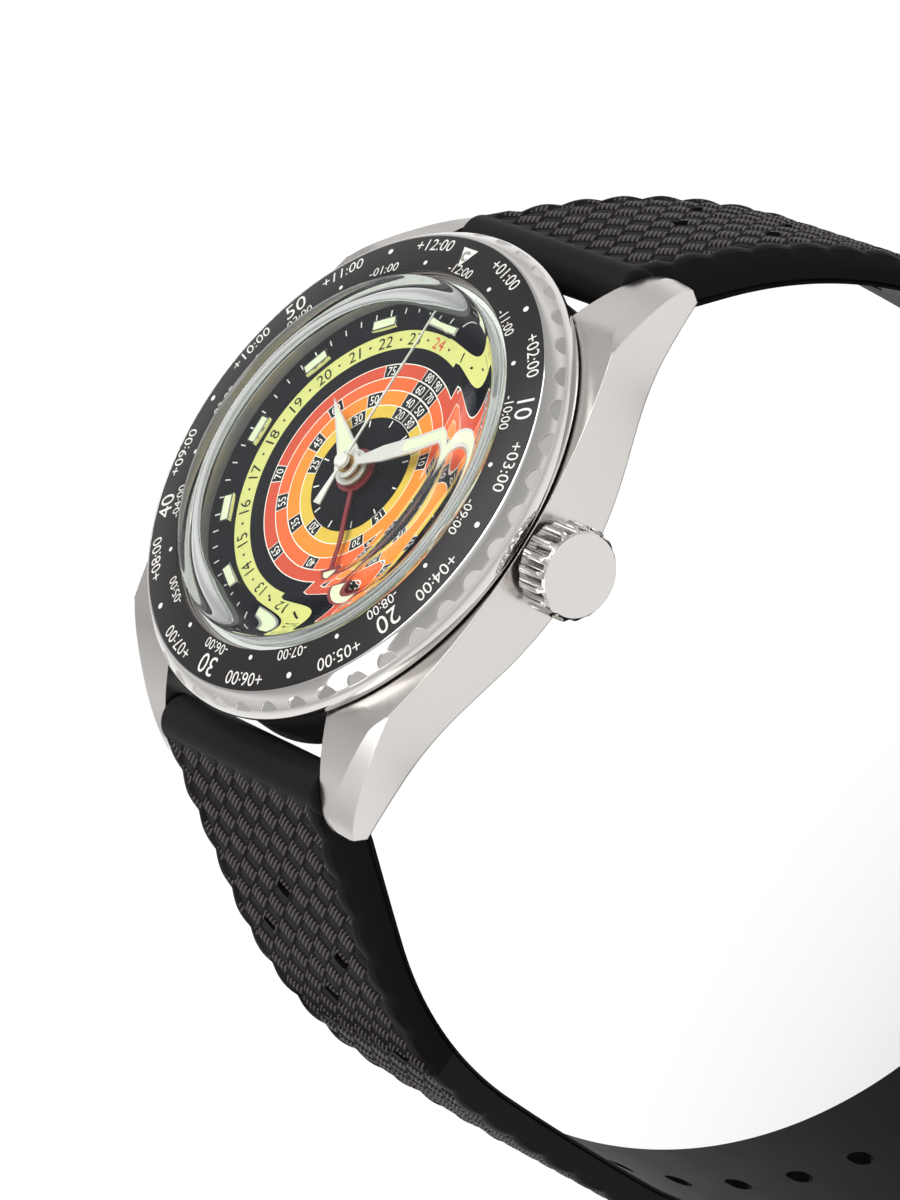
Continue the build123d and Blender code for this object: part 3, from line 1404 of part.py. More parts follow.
# Automatic winding rotor on its bearing
def build_rotor():
    web = tube(rotor_radius, rotor_bore, rotor_web_bottom, rotor_web_top)
    rim = tube(rotor_radius, rotor_rim_inner_radius, rotor_rim_bottom, rotor_rim_top)
    hub = tube(rotor_hub_radius, rotor_bore, rotor_rim_bottom, rotor_web_top)
    window = tube(rotor_window_radius, rotor_window_inner_radius, rotor_web_bottom - overrun,
                  rotor_web_top + overrun)
    big = 2 * rotor_radius
    lean = (180.0 - rotor_sweep) / 2
    keep = block(0, big, -big, big, rotor_rim_bottom - overrun, rotor_rim_top + overrun)
    sector = (Rot(0, 0, rotor_heading + lean) * keep) & (Rot(0, 0, rotor_heading - lean) * keep)
    inner_lean = lean + rotor_edge_lean
    opening = Rot(0, 0, rotor_heading + inner_lean) * keep
    opening = opening & (Rot(0, 0, rotor_heading - inner_lean) * keep)
    rib = Rot(0, 0, rotor_heading) * block(0, big, -rotor_hub_radius / 2, rotor_hub_radius / 2,
                                           rotor_web_bottom - 2 * overrun, rotor_web_top + 2 * overrun)
    windows = (window & opening) - rib
    return ((web + rim) & sector) - windows + hub


bearing = cyl(bearing_radius, rotor_rim_bottom - running_gap, rotor_web_top + side_gap)
bearing = bearing + cyl(bearing_flange_radius, rotor_rim_bottom - side_gap, rotor_rim_bottom - running_gap)
bearing = bearing + cyl(bearing_foot_radius, rotor_web_top + side_gap, bridge_bottom)
bearing = bearing - block(-bearing_foot_radius, bearing_foot_radius, -side_gap, side_gap, rotor_rim_bottom
                          - 2 * side_gap, rotor_rim_bottom + side_gap)
write("rotor", build_rotor())
write("rotor_bearing", bearing)


# Strap halves, drawn as curved side outlines and cut to their taper
def strap_path(sign, lean, lengths, turns):
    """Stations along a strap half: run, reach, height and heading below the horizontal."""
    run, reach, height, heading = 0.0, bar_reach, bar_height, lean
    stations = [(run, reach, height, heading)]
    for length, turn in zip(lengths, turns):
        steps = strap_steps if turn < strap_long_turn else strap_long_turn_steps
        for index in range(steps):
            middle = math.radians(heading + turn / steps / 2)
            reach = reach + length / steps * math.cos(middle)
            height = height - length / steps * math.sin(middle)
            heading = heading + turn / steps
            run = run + length / steps
            stations.append((run, reach, height, heading))
    return [(run, sign * reach, height, heading) for run, reach, height, heading in stations]


def strap_thickness(run):
    """Thick beside the lugs, then easing to the thin free length."""
    share = min(max((run - strap_thick_run) / (strap_taper_run - strap_thick_run), 0.0), 1.0)
    eased = share * (2 - share)
    return strap_end_thickness + (strap_thin_thickness - strap_end_thickness) * eased


def strap_sides(stations, sign):
    """Points of the outer and inner faces at each station."""
    outer, inner = [], []
    for run, y, z, heading in stations:
        half = strap_thickness(run) / 2
        tilt = math.radians(heading)
        normal_y, normal_z = sign * math.sin(tilt), math.cos(tilt)
        outer.append((0, y + normal_y * half, z + normal_z * half))
        inner.append((0, y - normal_y * half, z - normal_z * half))
    return outer, inner


def build_strap(sign, stations):
    outer, inner = strap_sides(stations, sign)
    outline = [Spline(*outer), Line(outer[-1], inner[-1]), Spline(*inner), Line(inner[0], outer[0])]
    profile = make_face(outline)
    band = extrude(profile, strap_half_width, both=True)
    low = min(z for run, y, z, heading in stations) - strap_end_thickness
    taper_end = bar_height - strap_taper_drop
    high = bar_height + strap_end_thickness
    front = make_face(Polyline((-strap_half_width, 0, high), (-strap_half_width, 0, bar_height),
                               (-strap_tip_half_width, 0, taper_end), (-strap_tip_half_width, 0, low),
                               (strap_tip_half_width, 0, low), (strap_tip_half_width, 0, taper_end),
                               (strap_half_width, 0, bar_height), (strap_half_width, 0, high), close=True))
    span = 2 * max(abs(y) for run, y, z, heading in stations) + overrun
    band = band & extrude(front, span, both=True)
    barrel = cyl_x(strap_end_thickness / 2 - seat_gap, -strap_half_width, strap_half_width, sign * bar_reach,
                   bar_height)
    hole = cyl_x(bar_radius + running_gap, -strap_half_width - overrun, strap_half_width + overrun,
                 sign * bar_reach, bar_height)
    return band + barrel - hole


def station_plane(station, sign):
    """A plane on the strap: X across it, Y along it towards its free end and Z out of its outer face."""
    run, y, z, heading = station
    tilt = math.radians(heading)
    return Plane(origin=(0, y, z), x_dir=(sign, 0, 0), z_dir=(0, sign * math.sin(tilt), math.cos(tilt)))


def station_at(stations, run):
    """The station at a run along the strap, between the drawn ones."""
    for before, after in zip(stations, stations[1:]):
        if before[0] <= run <= after[0]:
            share = (run - before[0]) / (after[0] - before[0])
            return tuple(a + share * (b - a) for a, b in zip(before, after))
    return stations[-1]


def in_plane(plane, shape):
    return plane.location * shape


def vent_holes(strap, stations, sign, last_run):
    """Cut the diamond vents: one on the middle line, then a pair beside it, in turn."""
    run = vent_first_run
    places = (0,)
    while run < last_run - vent_margin:
        plane = station_plane(station_at(stations, run), sign)
        for place in places:
            vent = Rot(0, 0, 45) * block(-vent_side / 2, vent_side / 2, -vent_side / 2, vent_side / 2,
                                         -strap_end_thickness, strap_end_thickness)
            strap = strap - in_plane(plane, Pos(place, 0, 0) * vent)
        run = run + vent_pitch / 2
        places = (-vent_pair_place, vent_pair_place) if len(places) == 1 else (0,)
    return strap


stations_12 = strap_path(1, strap_12_lean, strap_12_lengths, strap_12_turns)
stations_6 = strap_path(-1, strap_6_lean, strap_6_lengths, strap_6_turns)
buckle_plane = station_plane(stations_12[-1], 1)
length_12 = stations_12[-1][0]
length_6 = stations_6[-1][0]


def build_keeper(run, moulded):
    """A rectangular loop round the strap with room for the other half's tail."""
    half = strap_tip_half_width + keeper_gap
    low = -strap_thin_thickness / 2 - keeper_gap
    high = low + 2 * strap_thin_thickness + 3 * keeper_gap
    outer = block(-half - keeper_wall, half + keeper_wall, -keeper_length / 2, keeper_length / 2,
                  low - keeper_wall, high + keeper_wall)
    outer = fillet(outer.edges().filter_by(Axis.Y), keeper_wall)
    floor = strap_thin_thickness / 2 - small_edge if moulded else low
    inner = block(-half, half, -keeper_length, keeper_length, floor, high)
    return in_plane(station_plane(station_at(stations_12, run), 1), outer - inner)


def build_strap_12():
    half = build_strap(1, stations_12)
    half = vent_holes(half, stations_12, 1, length_12 - fixed_keeper_place - keeper_length / 2)
    barrel = cyl_x(buckle_barrel_radius, -strap_tip_half_width, strap_tip_half_width)
    hole_end = strap_tip_half_width + overrun
    hole = cyl_x(buckle_bar_radius + running_gap, -hole_end, hole_end)
    slot = block(-buckle_tongue_slot / 2, buckle_tongue_slot / 2, -2 * buckle_barrel_radius,
                 2 * buckle_barrel_radius, -2 * buckle_barrel_radius, 2 * buckle_barrel_radius)
    half = half + in_plane(buckle_plane, barrel)
    half = half - in_plane(buckle_plane, hole) - in_plane(buckle_plane, slot)
    return half + build_keeper(length_12 - fixed_keeper_place, True)


def build_strap_6():
    half = build_strap(-1, stations_6)
    half = vent_holes(half, stations_6, -1, length_6 - first_hole_from_tip - (hole_count - 1) * hole_pitch)
    for index in range(hole_count):
        run = length_6 - first_hole_from_tip - index * hole_pitch
        slot = extrude(SlotOverall(hole_length, hole_width), 2 * strap_thin_thickness, both=True)
        half = half - in_plane(station_plane(station_at(stations_6, run), -1), slot)
    tip = station_plane(stations_6[-1], -1)
    radius = strap_6_tip_rounding
    corner = block(strap_tip_half_width - radius, strap_tip_half_width + overrun, -radius, overrun,
                   -strap_end_thickness, strap_end_thickness)
    corner = corner - cyl(radius, -2 * strap_end_thickness, 2 * strap_end_thickness,
                          strap_tip_half_width - radius, -radius)
    return half - in_plane(tip, corner) - in_plane(tip, mirror(corner, Plane.YZ))


def build_spring_bars():
    bars = []
    for sign in (-1, 1):
        body_end = lug_inner_half_gap - seat_gap
        bar = cyl_x(bar_radius, -body_end, body_end, sign * bar_reach, bar_height)
        pin_end = lug_inner_half_gap + bar_pin_depth
        bars.append(bar + cyl_x(bar_pin_radius, -pin_end, pin_end, sign * bar_reach, bar_height))
    return Compound(children=bars)


def build_buckle_frame():
    """Two side arms from the bar to a front bar that the tongue rests on."""
    inner_half = strap_tip_half_width + buckle_side_gap
    half_thickness = buckle_thickness / 2
    side = block(inner_half, buckle_half_width, -buckle_barrel_radius, buckle_length, -half_thickness,
                 half_thickness)
    front = block(-buckle_half_width, buckle_half_width, buckle_length - buckle_wire, buckle_length,
                  -half_thickness - buckle_bar_drop, half_thickness - buckle_bar_drop)
    frame = side + mirror(side, Plane.YZ) + front
    frame = fillet(frame.edges().filter_by(Axis.Z).sort_by(SortBy.DISTANCE)[-4:], buckle_rounding / 2)
    pin = cyl_x(buckle_pin_radius + seat_gap, -inner_half - buckle_pin_depth - seat_gap,
                inner_half + buckle_pin_depth + seat_gap)
    return in_plane(buckle_plane, frame - pin)


def build_buckle_bar():
    inner_half = strap_tip_half_width + buckle_side_gap
    bar = cyl_x(buckle_bar_radius, -inner_half + seat_gap, inner_half - seat_gap)
    pin_end = inner_half + buckle_pin_depth
    return in_plane(buckle_plane, bar + cyl_x(buckle_pin_radius, -pin_end, pin_end))


def build_buckle_tongue():
    half = tongue_width / 2
    eye = cyl_x(tongue_ring_radius, -half, half)
    rest = buckle_thickness / 2 - buckle_bar_drop + seat_gap
    arm = block(-half, half, 0, buckle_length + tongue_overhang, rest, rest + tongue_thickness)
    hole = cyl_x(buckle_bar_radius + running_gap, -half - overrun, half + overrun)
    return in_plane(buckle_plane, eye + arm - hole)


write("strap_12", build_strap_12())
write("strap_6", build_strap_6())
write("spring_bars", build_spring_bars())
write("buckle_frame", build_buckle_frame())
write("buckle_bar", build_buckle_bar())
write("buckle_tongue", build_buckle_tongue())
write("free_keeper", build_keeper(length_12 - free_keeper_place, False))
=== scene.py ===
# %% [markdown]
# # A world time watch, dressed for the camera
# The CAD model gives every piece of the watch at its real size: case, turning bezel, box crystal,
# dial, hands, movement and an open rubber strap. This lesson keeps those sizes and adds what CAD
# leaves out: soft edges, polished and brushed metal, printed scales, a clear crystal and the woven
# relief of the strap. Everything is in metres, and each piece rides on the body that carries it.

# %% Load the frame
import json
import math

import bpy
import numpy as np
from mathutils import Matrix, Vector


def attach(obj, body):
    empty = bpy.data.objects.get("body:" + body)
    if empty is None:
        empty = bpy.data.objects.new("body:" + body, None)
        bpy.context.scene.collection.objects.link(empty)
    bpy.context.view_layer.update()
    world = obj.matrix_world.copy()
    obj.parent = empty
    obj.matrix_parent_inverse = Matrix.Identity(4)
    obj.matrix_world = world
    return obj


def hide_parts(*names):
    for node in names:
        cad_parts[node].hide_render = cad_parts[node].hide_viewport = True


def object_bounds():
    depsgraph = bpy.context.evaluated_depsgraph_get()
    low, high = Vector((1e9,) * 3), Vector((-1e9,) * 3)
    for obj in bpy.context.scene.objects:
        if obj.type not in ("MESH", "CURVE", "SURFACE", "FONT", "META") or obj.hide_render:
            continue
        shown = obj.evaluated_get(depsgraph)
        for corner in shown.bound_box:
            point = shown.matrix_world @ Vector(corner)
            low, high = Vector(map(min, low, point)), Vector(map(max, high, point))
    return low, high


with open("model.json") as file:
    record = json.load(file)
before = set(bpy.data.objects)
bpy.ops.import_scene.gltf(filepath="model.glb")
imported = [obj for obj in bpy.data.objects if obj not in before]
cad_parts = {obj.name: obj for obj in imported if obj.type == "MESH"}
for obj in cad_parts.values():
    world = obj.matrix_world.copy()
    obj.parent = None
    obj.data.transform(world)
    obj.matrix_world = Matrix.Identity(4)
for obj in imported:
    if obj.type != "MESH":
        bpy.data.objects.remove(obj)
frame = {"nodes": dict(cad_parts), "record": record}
cad_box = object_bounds()
nodes = frame["nodes"]
members_of_body = frame["record"]["behaviour"]["bodies"]
body_of_node = {node: body for body, members in members_of_body.items() for node in members}
slot_of_node = {part["node"]: part["material_slot"] for part in frame["record"]["subparts"]}
MM = 0.001

# %% [markdown]
# ## Shader maths
# A pattern is easier to read as a sum than as a wall of nodes. `Value` wraps one socket, so
# `ring * 0.5 + 1` adds the Math nodes by itself, and `Paint` is one material in the making: its
# `node` method adds any other node, with its settings first and then its sockets.

# %% A socket that takes part in sums
class Value:
    def __init__(self, paint, socket):
        self.paint = paint
        self.socket = socket

    def math(self, operation, *others):
        sockets = dict(enumerate((self, *others)))
        return self.paint.node("ShaderNodeMath", {"operation": operation}, sockets)

    def __add__(self, other):
        return self.math("ADD", other)

    def __sub__(self, other):
        return self.math("SUBTRACT", other)

    def __mul__(self, other):
        return self.math("MULTIPLY", other)

    def __truediv__(self, other):
        return self.math("DIVIDE", other)

    def __rsub__(self, other):
        return (self * -1) + other

    def __lt__(self, other):
        return self.math("LESS_THAN", other)

    def __gt__(self, other):
        return self.math("GREATER_THAN", other)

    def __abs__(self):
        return self.math("ABSOLUTE")

    __radd__ = __add__
    __rmul__ = __mul__


# %% A material in the making
class Paint:
    def __init__(self, name, **sockets):
        self.material = bpy.data.materials.new(name)
        self.material.use_nodes = True
        self.tree = self.material.node_tree
        self.tree.nodes.clear()
        self.shader = self.tree.nodes.new("ShaderNodeBsdfPrincipled")
        self.output = self.tree.nodes.new("ShaderNodeOutputMaterial")
        self.tree.links.new(self.shader.outputs[0], self.output.inputs[0])
        for socket, value in sockets.items():
            self.set(socket.replace("_", " "), value)

    def plug(self, socket, value):
        if isinstance(value, Value):
            self.tree.links.new(value.socket, socket)
        else:
            socket.default_value = value

    def set(self, socket, value):
        self.plug(self.shader.inputs[socket], value)

    def node(self, kind, settings=None, inputs=None, output=0):
        made = self.tree.nodes.new(kind)
        for setting, value in (settings or {}).items():
            setattr(made, setting, value)
        for socket, value in (inputs or {}).items():
            self.plug(made.inputs[socket], value)
        return Value(self, made.outputs[output])

    def place(self, source="Object"):
        return self.node("ShaderNodeTexCoord", output=source)

    def parts(self, vector):
        made = self.tree.nodes.new("ShaderNodeSeparateXYZ")
        self.plug(made.inputs[0], vector)
        return [Value(self, made.outputs[index]) for index in range(3)]

    def stretch(self, vector, x, y, z):
        factors = {0: vector, 1: (x, y, z)}
        return self.node("ShaderNodeVectorMath", {"operation": "MULTIPLY"}, factors)

    def noise(self, vector, scale, detail=3.0):
        sockets = {"Vector": vector, "Scale": scale, "Detail": detail}
        return self.node("ShaderNodeTexNoise", {}, sockets)

    def blend(self, share, first, second):
        sockets = {0: share, 6: first, 7: second}
        return self.node("ShaderNodeMix", {"data_type": "RGBA"}, sockets, 2)

    def soft_edge(self, radius):
        return self.node("ShaderNodeBevel", {"samples": 6}, {"Radius": radius * MM})

    def bump(self, height, distance, strength, normal=None):
        sockets = {"Height": height, "Distance": distance * MM, "Strength": strength}
        if normal is not None:
            sockets["Normal"] = normal
        return self.node("ShaderNodeBump", {}, sockets)


def tint(code, share=1.0):
    """A colour written as on screen, turned into the linear light of shaders, times a share."""
    channels = [int(code[index:index + 2], 16) / 255 for index in (1, 3, 5)]
    linear = [c / 12.92 if c <= 0.04045 else ((c + 0.055) / 1.055) ** 2.4 for c in channels]
    return (*(c * share for c in linear), 1.0)


print("red of the dial as light:", [round(c, 3) for c in tint("#c9503a")])

# %% [markdown]
# ## Steel
# The watch shows steel three ways: satin flanks, mirror-bright bevels and the turning bezel, and
# plain ground parts inside. All are full metal. What changes is the roughness, a fine grain that
# runs one way, and a Bevel node that rounds every edge by a few hundredths of a millimetre, as
# tumbling and polishing do.

# %% Steel finishes
cloud_scale, streak_scale = 160.0, 9000.0


def steel(name, shade, roughness, grain=(1, 1, 1), grain_depth=0.0, edge=0.06):
    paint = Paint(name, Metallic=1.0)
    place = paint.place()
    cloud = paint.noise(place, cloud_scale)
    streaks = paint.noise(paint.stretch(place, *grain), streak_scale, 2.0)
    paint.set("Base Color", paint.blend(cloud, tint(shade, 0.94), tint(shade)))
    paint.set("Roughness", streaks * 0.06 + (roughness - 0.03) + cloud * 0.03)
    normal = paint.soft_edge(edge)
    if grain_depth:
        normal = paint.bump(streaks, grain_depth, 0.5, normal)
    paint.set("Normal", normal)
    return paint.material


satin_steel = steel("satin_steel", "#dedad6", 0.22, (1, 0.06, 1), 0.0015, 0.13)
bright_steel = steel("bright_steel", "#e6e3e0", 0.07)
crown_steel = steel("crown_steel", "#dfdbd8", 0.12, (0.06, 1, 1), 0.001)
back_steel = steel("back_steel", "#d6d2ce", 0.28, (1, 1, 1), 0.002)
print("steels:", [m.name for m in (satin_steel, bright_steel, crown_steel, back_steel)])

# %% [markdown]
# ## Rubber
# Strap rubber is nearly black with a soft sheen. It has a very fine moulded skin, so light breaks
# up on it. The woven relief comes later as real shape, as ribs in the bump and as painted
# highlight and painted shade in the ribs' colour. The seals take the same skin. The one under the
# crystal is pale, and the crystal's far edge shows it as a light band.

# %% Rubber finishes
strap_black = "#171415"
skin_scale, skin_depth, skin_strength = 5200.0, 0.01, 0.35


def rubber(name, shade, roughness):
    paint = Paint(name, Specular_IOR_Level=0.1)
    place = paint.place()
    cloud = paint.noise(place, 260.0)
    skin = paint.noise(place, skin_scale, 2.0)
    paint.set("Base Color", paint.blend(cloud, tint(shade), tint(shade, 1.35)))
    paint.set("Roughness", cloud * 0.08 + roughness)
    paint.set("Normal", paint.bump(skin, skin_depth, skin_strength, paint.soft_edge(0.1)))
    return paint


rubber_plain = rubber("rubber_plain", strap_black, 0.5).material
seal_rubber = rubber("seal_rubber", "#181717", 0.6).material
seal_nylon = rubber("seal_nylon", "#dadeda", 0.4).material
print("rubbers:", rubber_plain.name, seal_rubber.name, seal_nylon.name)

# %% [markdown]
# ## Paint, lume and movement finishes
# Lume is a chalky pale green. The bezel insert is brown-black with a faint gloss. Inside the
# movement the plates are nickel with a fine grain, the wheels are gilt brass, screws are blued and
# bearings are ruby. Each is a colour that drifts a little, with its own roughness.

# %% Small finishes
drift_scale, grain_scale = 400.0, 6000.0


def finish(name, shade, roughness, metallic=0.0, drift=0.1, grain=0.0, **sockets):
    paint = Paint(name, Metallic=metallic, **sockets)
    place = paint.place()
    cloud = paint.noise(place, drift_scale)
    paint.set("Base Color", paint.blend(cloud, tint(shade, 1 - drift), tint(shade)))
    paint.set("Roughness", cloud * 0.06 + (roughness - 0.03))
    normal = paint.soft_edge(0.04)
    if grain:
        normal = paint.bump(paint.noise(place, grain_scale), grain, 0.4, normal)
    paint.set("Normal", normal)
    return paint.material


lume = finish("lume", "#d6deba", 0.62, drift=0.05, grain=0.006)
pearl = finish("pearl", "#c9cac2", 0.22, metallic=0.7, drift=0.05, Coat_Weight=0.5)
insert_gloss = finish("insert_gloss", "#272324", 0.34, drift=0.12, Coat_Weight=0.05,
                      Coat_Roughness=0.15, Specular_IOR_Level=0.22)
print_white = finish("print_white", "#f2f0ea", 0.45, drift=0.03)
print_black = finish("print_black", "#0c0d10", 0.5, drift=0.2, Specular_IOR_Level=0.12)
print_red = finish("print_red", "#cf3a2c", 0.45, drift=0.08)
hand_white = finish("hand_white", "#eceae4", 0.3, metallic=0.6, drift=0.03)
hand_silver = finish("hand_silver", "#e9e6e0", 0.36, metallic=0.45, drift=0.04)
hand_red = finish("hand_red", "#7d1620", 0.32, drift=0.12, Coat_Weight=0.4)
frame_bright = finish("frame_bright", "#efede9", 0.1, metallic=1.0, drift=0.04)
flange_satin = finish("flange_satin", "#b9bbb6", 0.3, metallic=0.8, drift=0.06)
date_paper = finish("date_paper", "#f1efe8", 0.6, drift=0.03)
nickel = finish("nickel", "#d3cfc4", 0.26, metallic=1.0, grain=0.004)
gilt = finish("gilt", "#d9b56a", 0.24, metallic=1.0, grain=0.003)
ground_steel = finish("ground_steel", "#b4b4b6", 0.24, metallic=1.0)
blue_steel = finish("blue_steel", "#34406e", 0.2, metallic=1.0)
ruby = finish("ruby", "#a3122c", 0.08, drift=0.2, Transmission_Weight=0.4)
print("materials so far:", len(bpy.data.materials))

# %% [markdown]
# ## Clear sapphire
# Sapphire bends light strongly: its refractive index is about 1.7. Watch crystals are coated
# against reflections, so the specular tint is dark. Rays on their way to a lamp pass straight
# through, so the dial below is lit without noise.

# %% Sapphire
sapphire_index = 1.7


def sapphire_paint():
    paint = Paint("sapphire", Base_Color=(0.98, 1.0, 0.99, 1.0), Roughness=0.0, IOR=sapphire_index,
                  Transmission_Weight=1.0, Specular_IOR_Level=0.06,
                  Specular_Tint=(0.03, 0.03, 0.04, 1.0))
    clear = paint.node("ShaderNodeBsdfTransparent", {}, {0: (0.93, 0.95, 0.94, 1.0)})
    shadow = paint.node("ShaderNodeLightPath", output="Is Shadow Ray")
    body = Value(paint, paint.shader.outputs[0])
    mixed = paint.node("ShaderNodeMixShader", {}, {0: shadow, 1: body, 2: clear})
    paint.tree.links.new(mixed.socket, paint.output.inputs[0])
    return paint.material


sapphire = sapphire_paint()
print("sapphire index:", sapphire_index)

# %% [markdown]
# ## Tools for pieces
# A CAD mesh is loose triangles. `polished` merges a copy of it, melts its flat triangles together,
# smooths it up to an angle and lets it stand for the node. `turned` makes a round piece the way a
# lathe does: a circle is extruded and resized along an outline. `sheet` makes a flat strip and
# `lettering` makes flat numbers, and `wrap` bends either of them round the dial or the bezel.

# %% Working on one object at a time
weld_distance = 1e-7


def added(operator, **settings):
    """Run one of the add operators with nothing selected, and hand back what it made."""
    bpy.ops.object.select_all(action="DESELECT")
    operator(**settings)
    return bpy.context.object


def only(piece):
    bpy.ops.object.select_all(action="DESELECT")
    piece.select_set(True)
    bpy.context.view_layer.objects.active = piece


def edit(piece):
    only(piece)
    bpy.ops.object.mode_set(mode="EDIT")
    bpy.ops.mesh.select_all(action="SELECT")


def modify(piece, kind, **settings):
    """Add a modifier, set it and apply it."""
    only(piece)
    bpy.ops.object.modifier_add(type=kind)
    for setting, value in settings.items():
        setattr(piece.modifiers[-1], setting, value)
    bpy.ops.object.modifier_apply(modifier=piece.modifiers[-1].name)


def close(piece, weld=weld_distance, flip=True):
    """Merge doubles, point the faces outwards and leave edit mode."""
    bpy.ops.mesh.select_all(action="SELECT")
    bpy.ops.mesh.remove_doubles(threshold=weld)
    if flip:
        bpy.ops.mesh.normals_make_consistent(inside=False)
    bpy.ops.object.mode_set(mode="OBJECT")


def dress(piece, name, material, body, replaced=(), angle=None):
    """Name a piece, give it its finish and hang it on its body."""
    piece.name = name
    piece.data.name = name
    piece.data.materials.clear()
    piece.data.materials.append(material)
    if angle is not None:
        only(piece)
        bpy.ops.object.shade_smooth_by_angle(angle=math.radians(angle))
    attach(piece, body)
    if replaced:
        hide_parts(*replaced)
    return piece


# %% A merged copy that stands for its node
flat_within = 0.4


def polished(node, material, angle=24):
    source = nodes[node]
    piece = source.copy()
    piece.data = source.data.copy()
    bpy.context.scene.collection.objects.link(piece)
    piece.parent = None
    for key in list(piece.keys()):
        del piece[key]
    edit(piece)
    bpy.ops.mesh.remove_doubles(threshold=weld_distance)
    bpy.ops.mesh.dissolve_limited(angle_limit=math.radians(flat_within))
    close(piece, flip=False)
    only(piece)
    bpy.ops.object.shade_smooth_by_angle(angle=math.radians(angle))
    modify(piece, "WEIGHTED_NORMAL", keep_sharp=True)
    body, slot = body_of_node[node], slot_of_node[node]
    return dress(piece, node + "_finished", material, body, [node])


# %% A round piece from its outline
def turned(outline, steps):
    """Turn an outline of (radius, height) points in millimetres into a closed round mesh."""
    radius, height = outline[0]
    piece = added(bpy.ops.mesh.primitive_circle_add, vertices=steps, radius=radius * MM)
    edit(piece)
    bpy.ops.transform.translate(value=(0, 0, height * MM))
    for next_radius, next_height in outline[1:]:
        climb = {"value": (0, 0, (next_height - height) * MM)}
        bpy.ops.mesh.extrude_edges_move(TRANSFORM_OT_translate=climb)
        if next_radius == 0:
            bpy.ops.mesh.merge(type="CENTER")
            break
        share, centre = next_radius / radius, (0, 0, next_height * MM)
        bpy.ops.transform.resize(value=(share, share, 1), center_override=centre)
        radius, height = next_radius, next_height
    close(piece)
    return piece


def arc(centre, radius, start, end, steps):
    """Points of an outline's round corner, by angle from level."""
    angles = [math.radians(start + (end - start) * index / steps) for index in range(steps + 1)]
    return [(centre[0] + radius * math.cos(a), centre[1] + radius * math.sin(a)) for a in angles]


# %% Bending flat work round a circle
print_thickness = 0.004
capital_share = 0.69


def points_of(piece):
    place = np.zeros(len(piece.data.vertices) * 3)
    piece.data.vertices.foreach_get("co", place)
    return place.reshape(-1, 3)


def move_points(piece, place):
    piece.data.vertices.foreach_set("co", np.asarray(place, dtype=float).ravel())
    piece.data.update()


def wrap(piece, radius, clock, level):
    """Bend flat work round the axis: its middle goes to a radius and clock angle, top outwards."""
    place = points_of(piece) / MM
    angle = np.radians(clock) + place[:, 0] / radius
    reach = radius + place[:, 1]
    height = level(reach) + place[:, 2]
    bent = np.stack([reach * np.sin(angle), reach * np.cos(angle), height], axis=1)
    move_points(piece, bent * MM)
    return piece


def flat(height):
    """The level of work that lies flat at one height."""
    return lambda reach: height + 0 * reach


def sheet(width, depth, steps=6):
    """A flat strip centred on the origin, fine enough along its width to bend."""
    piece = added(bpy.ops.mesh.primitive_grid_add, x_subdivisions=steps, y_subdivisions=1, size=MM)
    edit(piece)
    bpy.ops.transform.resize(value=(width, depth, 1))
    rise = {"value": (0, 0, print_thickness * MM)}
    bpy.ops.mesh.extrude_region_move(TRANSFORM_OT_translate=rise)
    close(piece)
    return piece


def dot(radius, steps=16):
    return turned([(radius, 0.0), (radius, print_thickness), (0, print_thickness)], steps)


def lettering(words, size, narrow=1.0):
    """Numbers as a flat mesh, centred on the origin, with capitals of the given height."""
    piece = added(bpy.ops.object.text_add)
    piece.data.body = words
    piece.data.size = size * MM / capital_share
    piece.data.align_x = "CENTER"
    piece.data.extrude = print_thickness * MM / 2
    piece.data.resolution_u = 3
    bpy.ops.object.convert(target="MESH")
    piece = bpy.context.object
    place = points_of(piece)
    place[:, 0] = (place[:, 0] - (place[:, 0].max() + place[:, 0].min()) / 2) * narrow
    place[:, 1] -= size * MM / 2
    place[:, 2] += print_thickness * MM / 2
    move_points(piece, place)
    return piece


def joined(pieces):
    bpy.ops.object.select_all(action="DESELECT")
    for piece in pieces:
        piece.select_set(True)
    bpy.context.view_layer.objects.active = pieces[0]
    bpy.ops.object.join()
    return bpy.context.object


# %% [markdown]
# ## Case, bezel and crown
# The steel parts have the right shapes already. The case keeps its CAD mesh, because the curved
# flanks need its exact normals; merged copies stand for the crown, the back and the buckle.

# %% Steel parts
def keep(node, material):
    """Leave a node its CAD mesh, with the exact normals that came along, and give it a finish."""
    nodes[node].data.materials.clear()
    nodes[node].data.materials.append(material)


keep("mid_case", satin_steel)
steel_parts = {
    "crown": crown_steel, "case_back": back_steel,
    "buckle_frame": bright_steel, "buckle_tongue": bright_steel, "buckle_bar": ground_steel,
    "spring_bars": ground_steel, "crown_tube": ground_steel, "winding_stem": ground_steel,
}
for node, material in steel_parts.items():
    piece = polished(node, material)
    print(node, "faces:", len(piece.data.polygons))

# %% [markdown]
# ## Bezel ring
# Fingers grip the bezel by 44 dents cut across its sloping side. The ring is turned from a fine
# outline, and the dents are one dished cutter copied round it, taken away in one Boolean.

# %% Dents round the bezel
dent_count = 44
dent_radius, dent_depth = 0.9, 0.9
dent_reach, dent_height, dent_lean = 20.45, 9.55, 38


def punch(piece, cutters):
    """Take joined cutters out of a piece."""
    cutter = joined(cutters)
    modify(piece, "BOOLEAN", operation="DIFFERENCE", object=cutter, solver="EXACT")
    bpy.data.objects.remove(cutter)


def dent_cutter(index):
    piece = added(bpy.ops.mesh.primitive_cylinder_add, vertices=48, radius=dent_radius * MM,
                  depth=dent_depth * MM)
    clock = Matrix.Rotation(math.radians((index + 0.5) * 360 / dent_count), 4, "Z")
    lean = Matrix.Rotation(math.radians(dent_lean), 4, "Y")
    move = Matrix.Translation((dent_reach * MM, 0, dent_height * MM))
    piece.data.transform(clock @ move @ lean)
    return piece


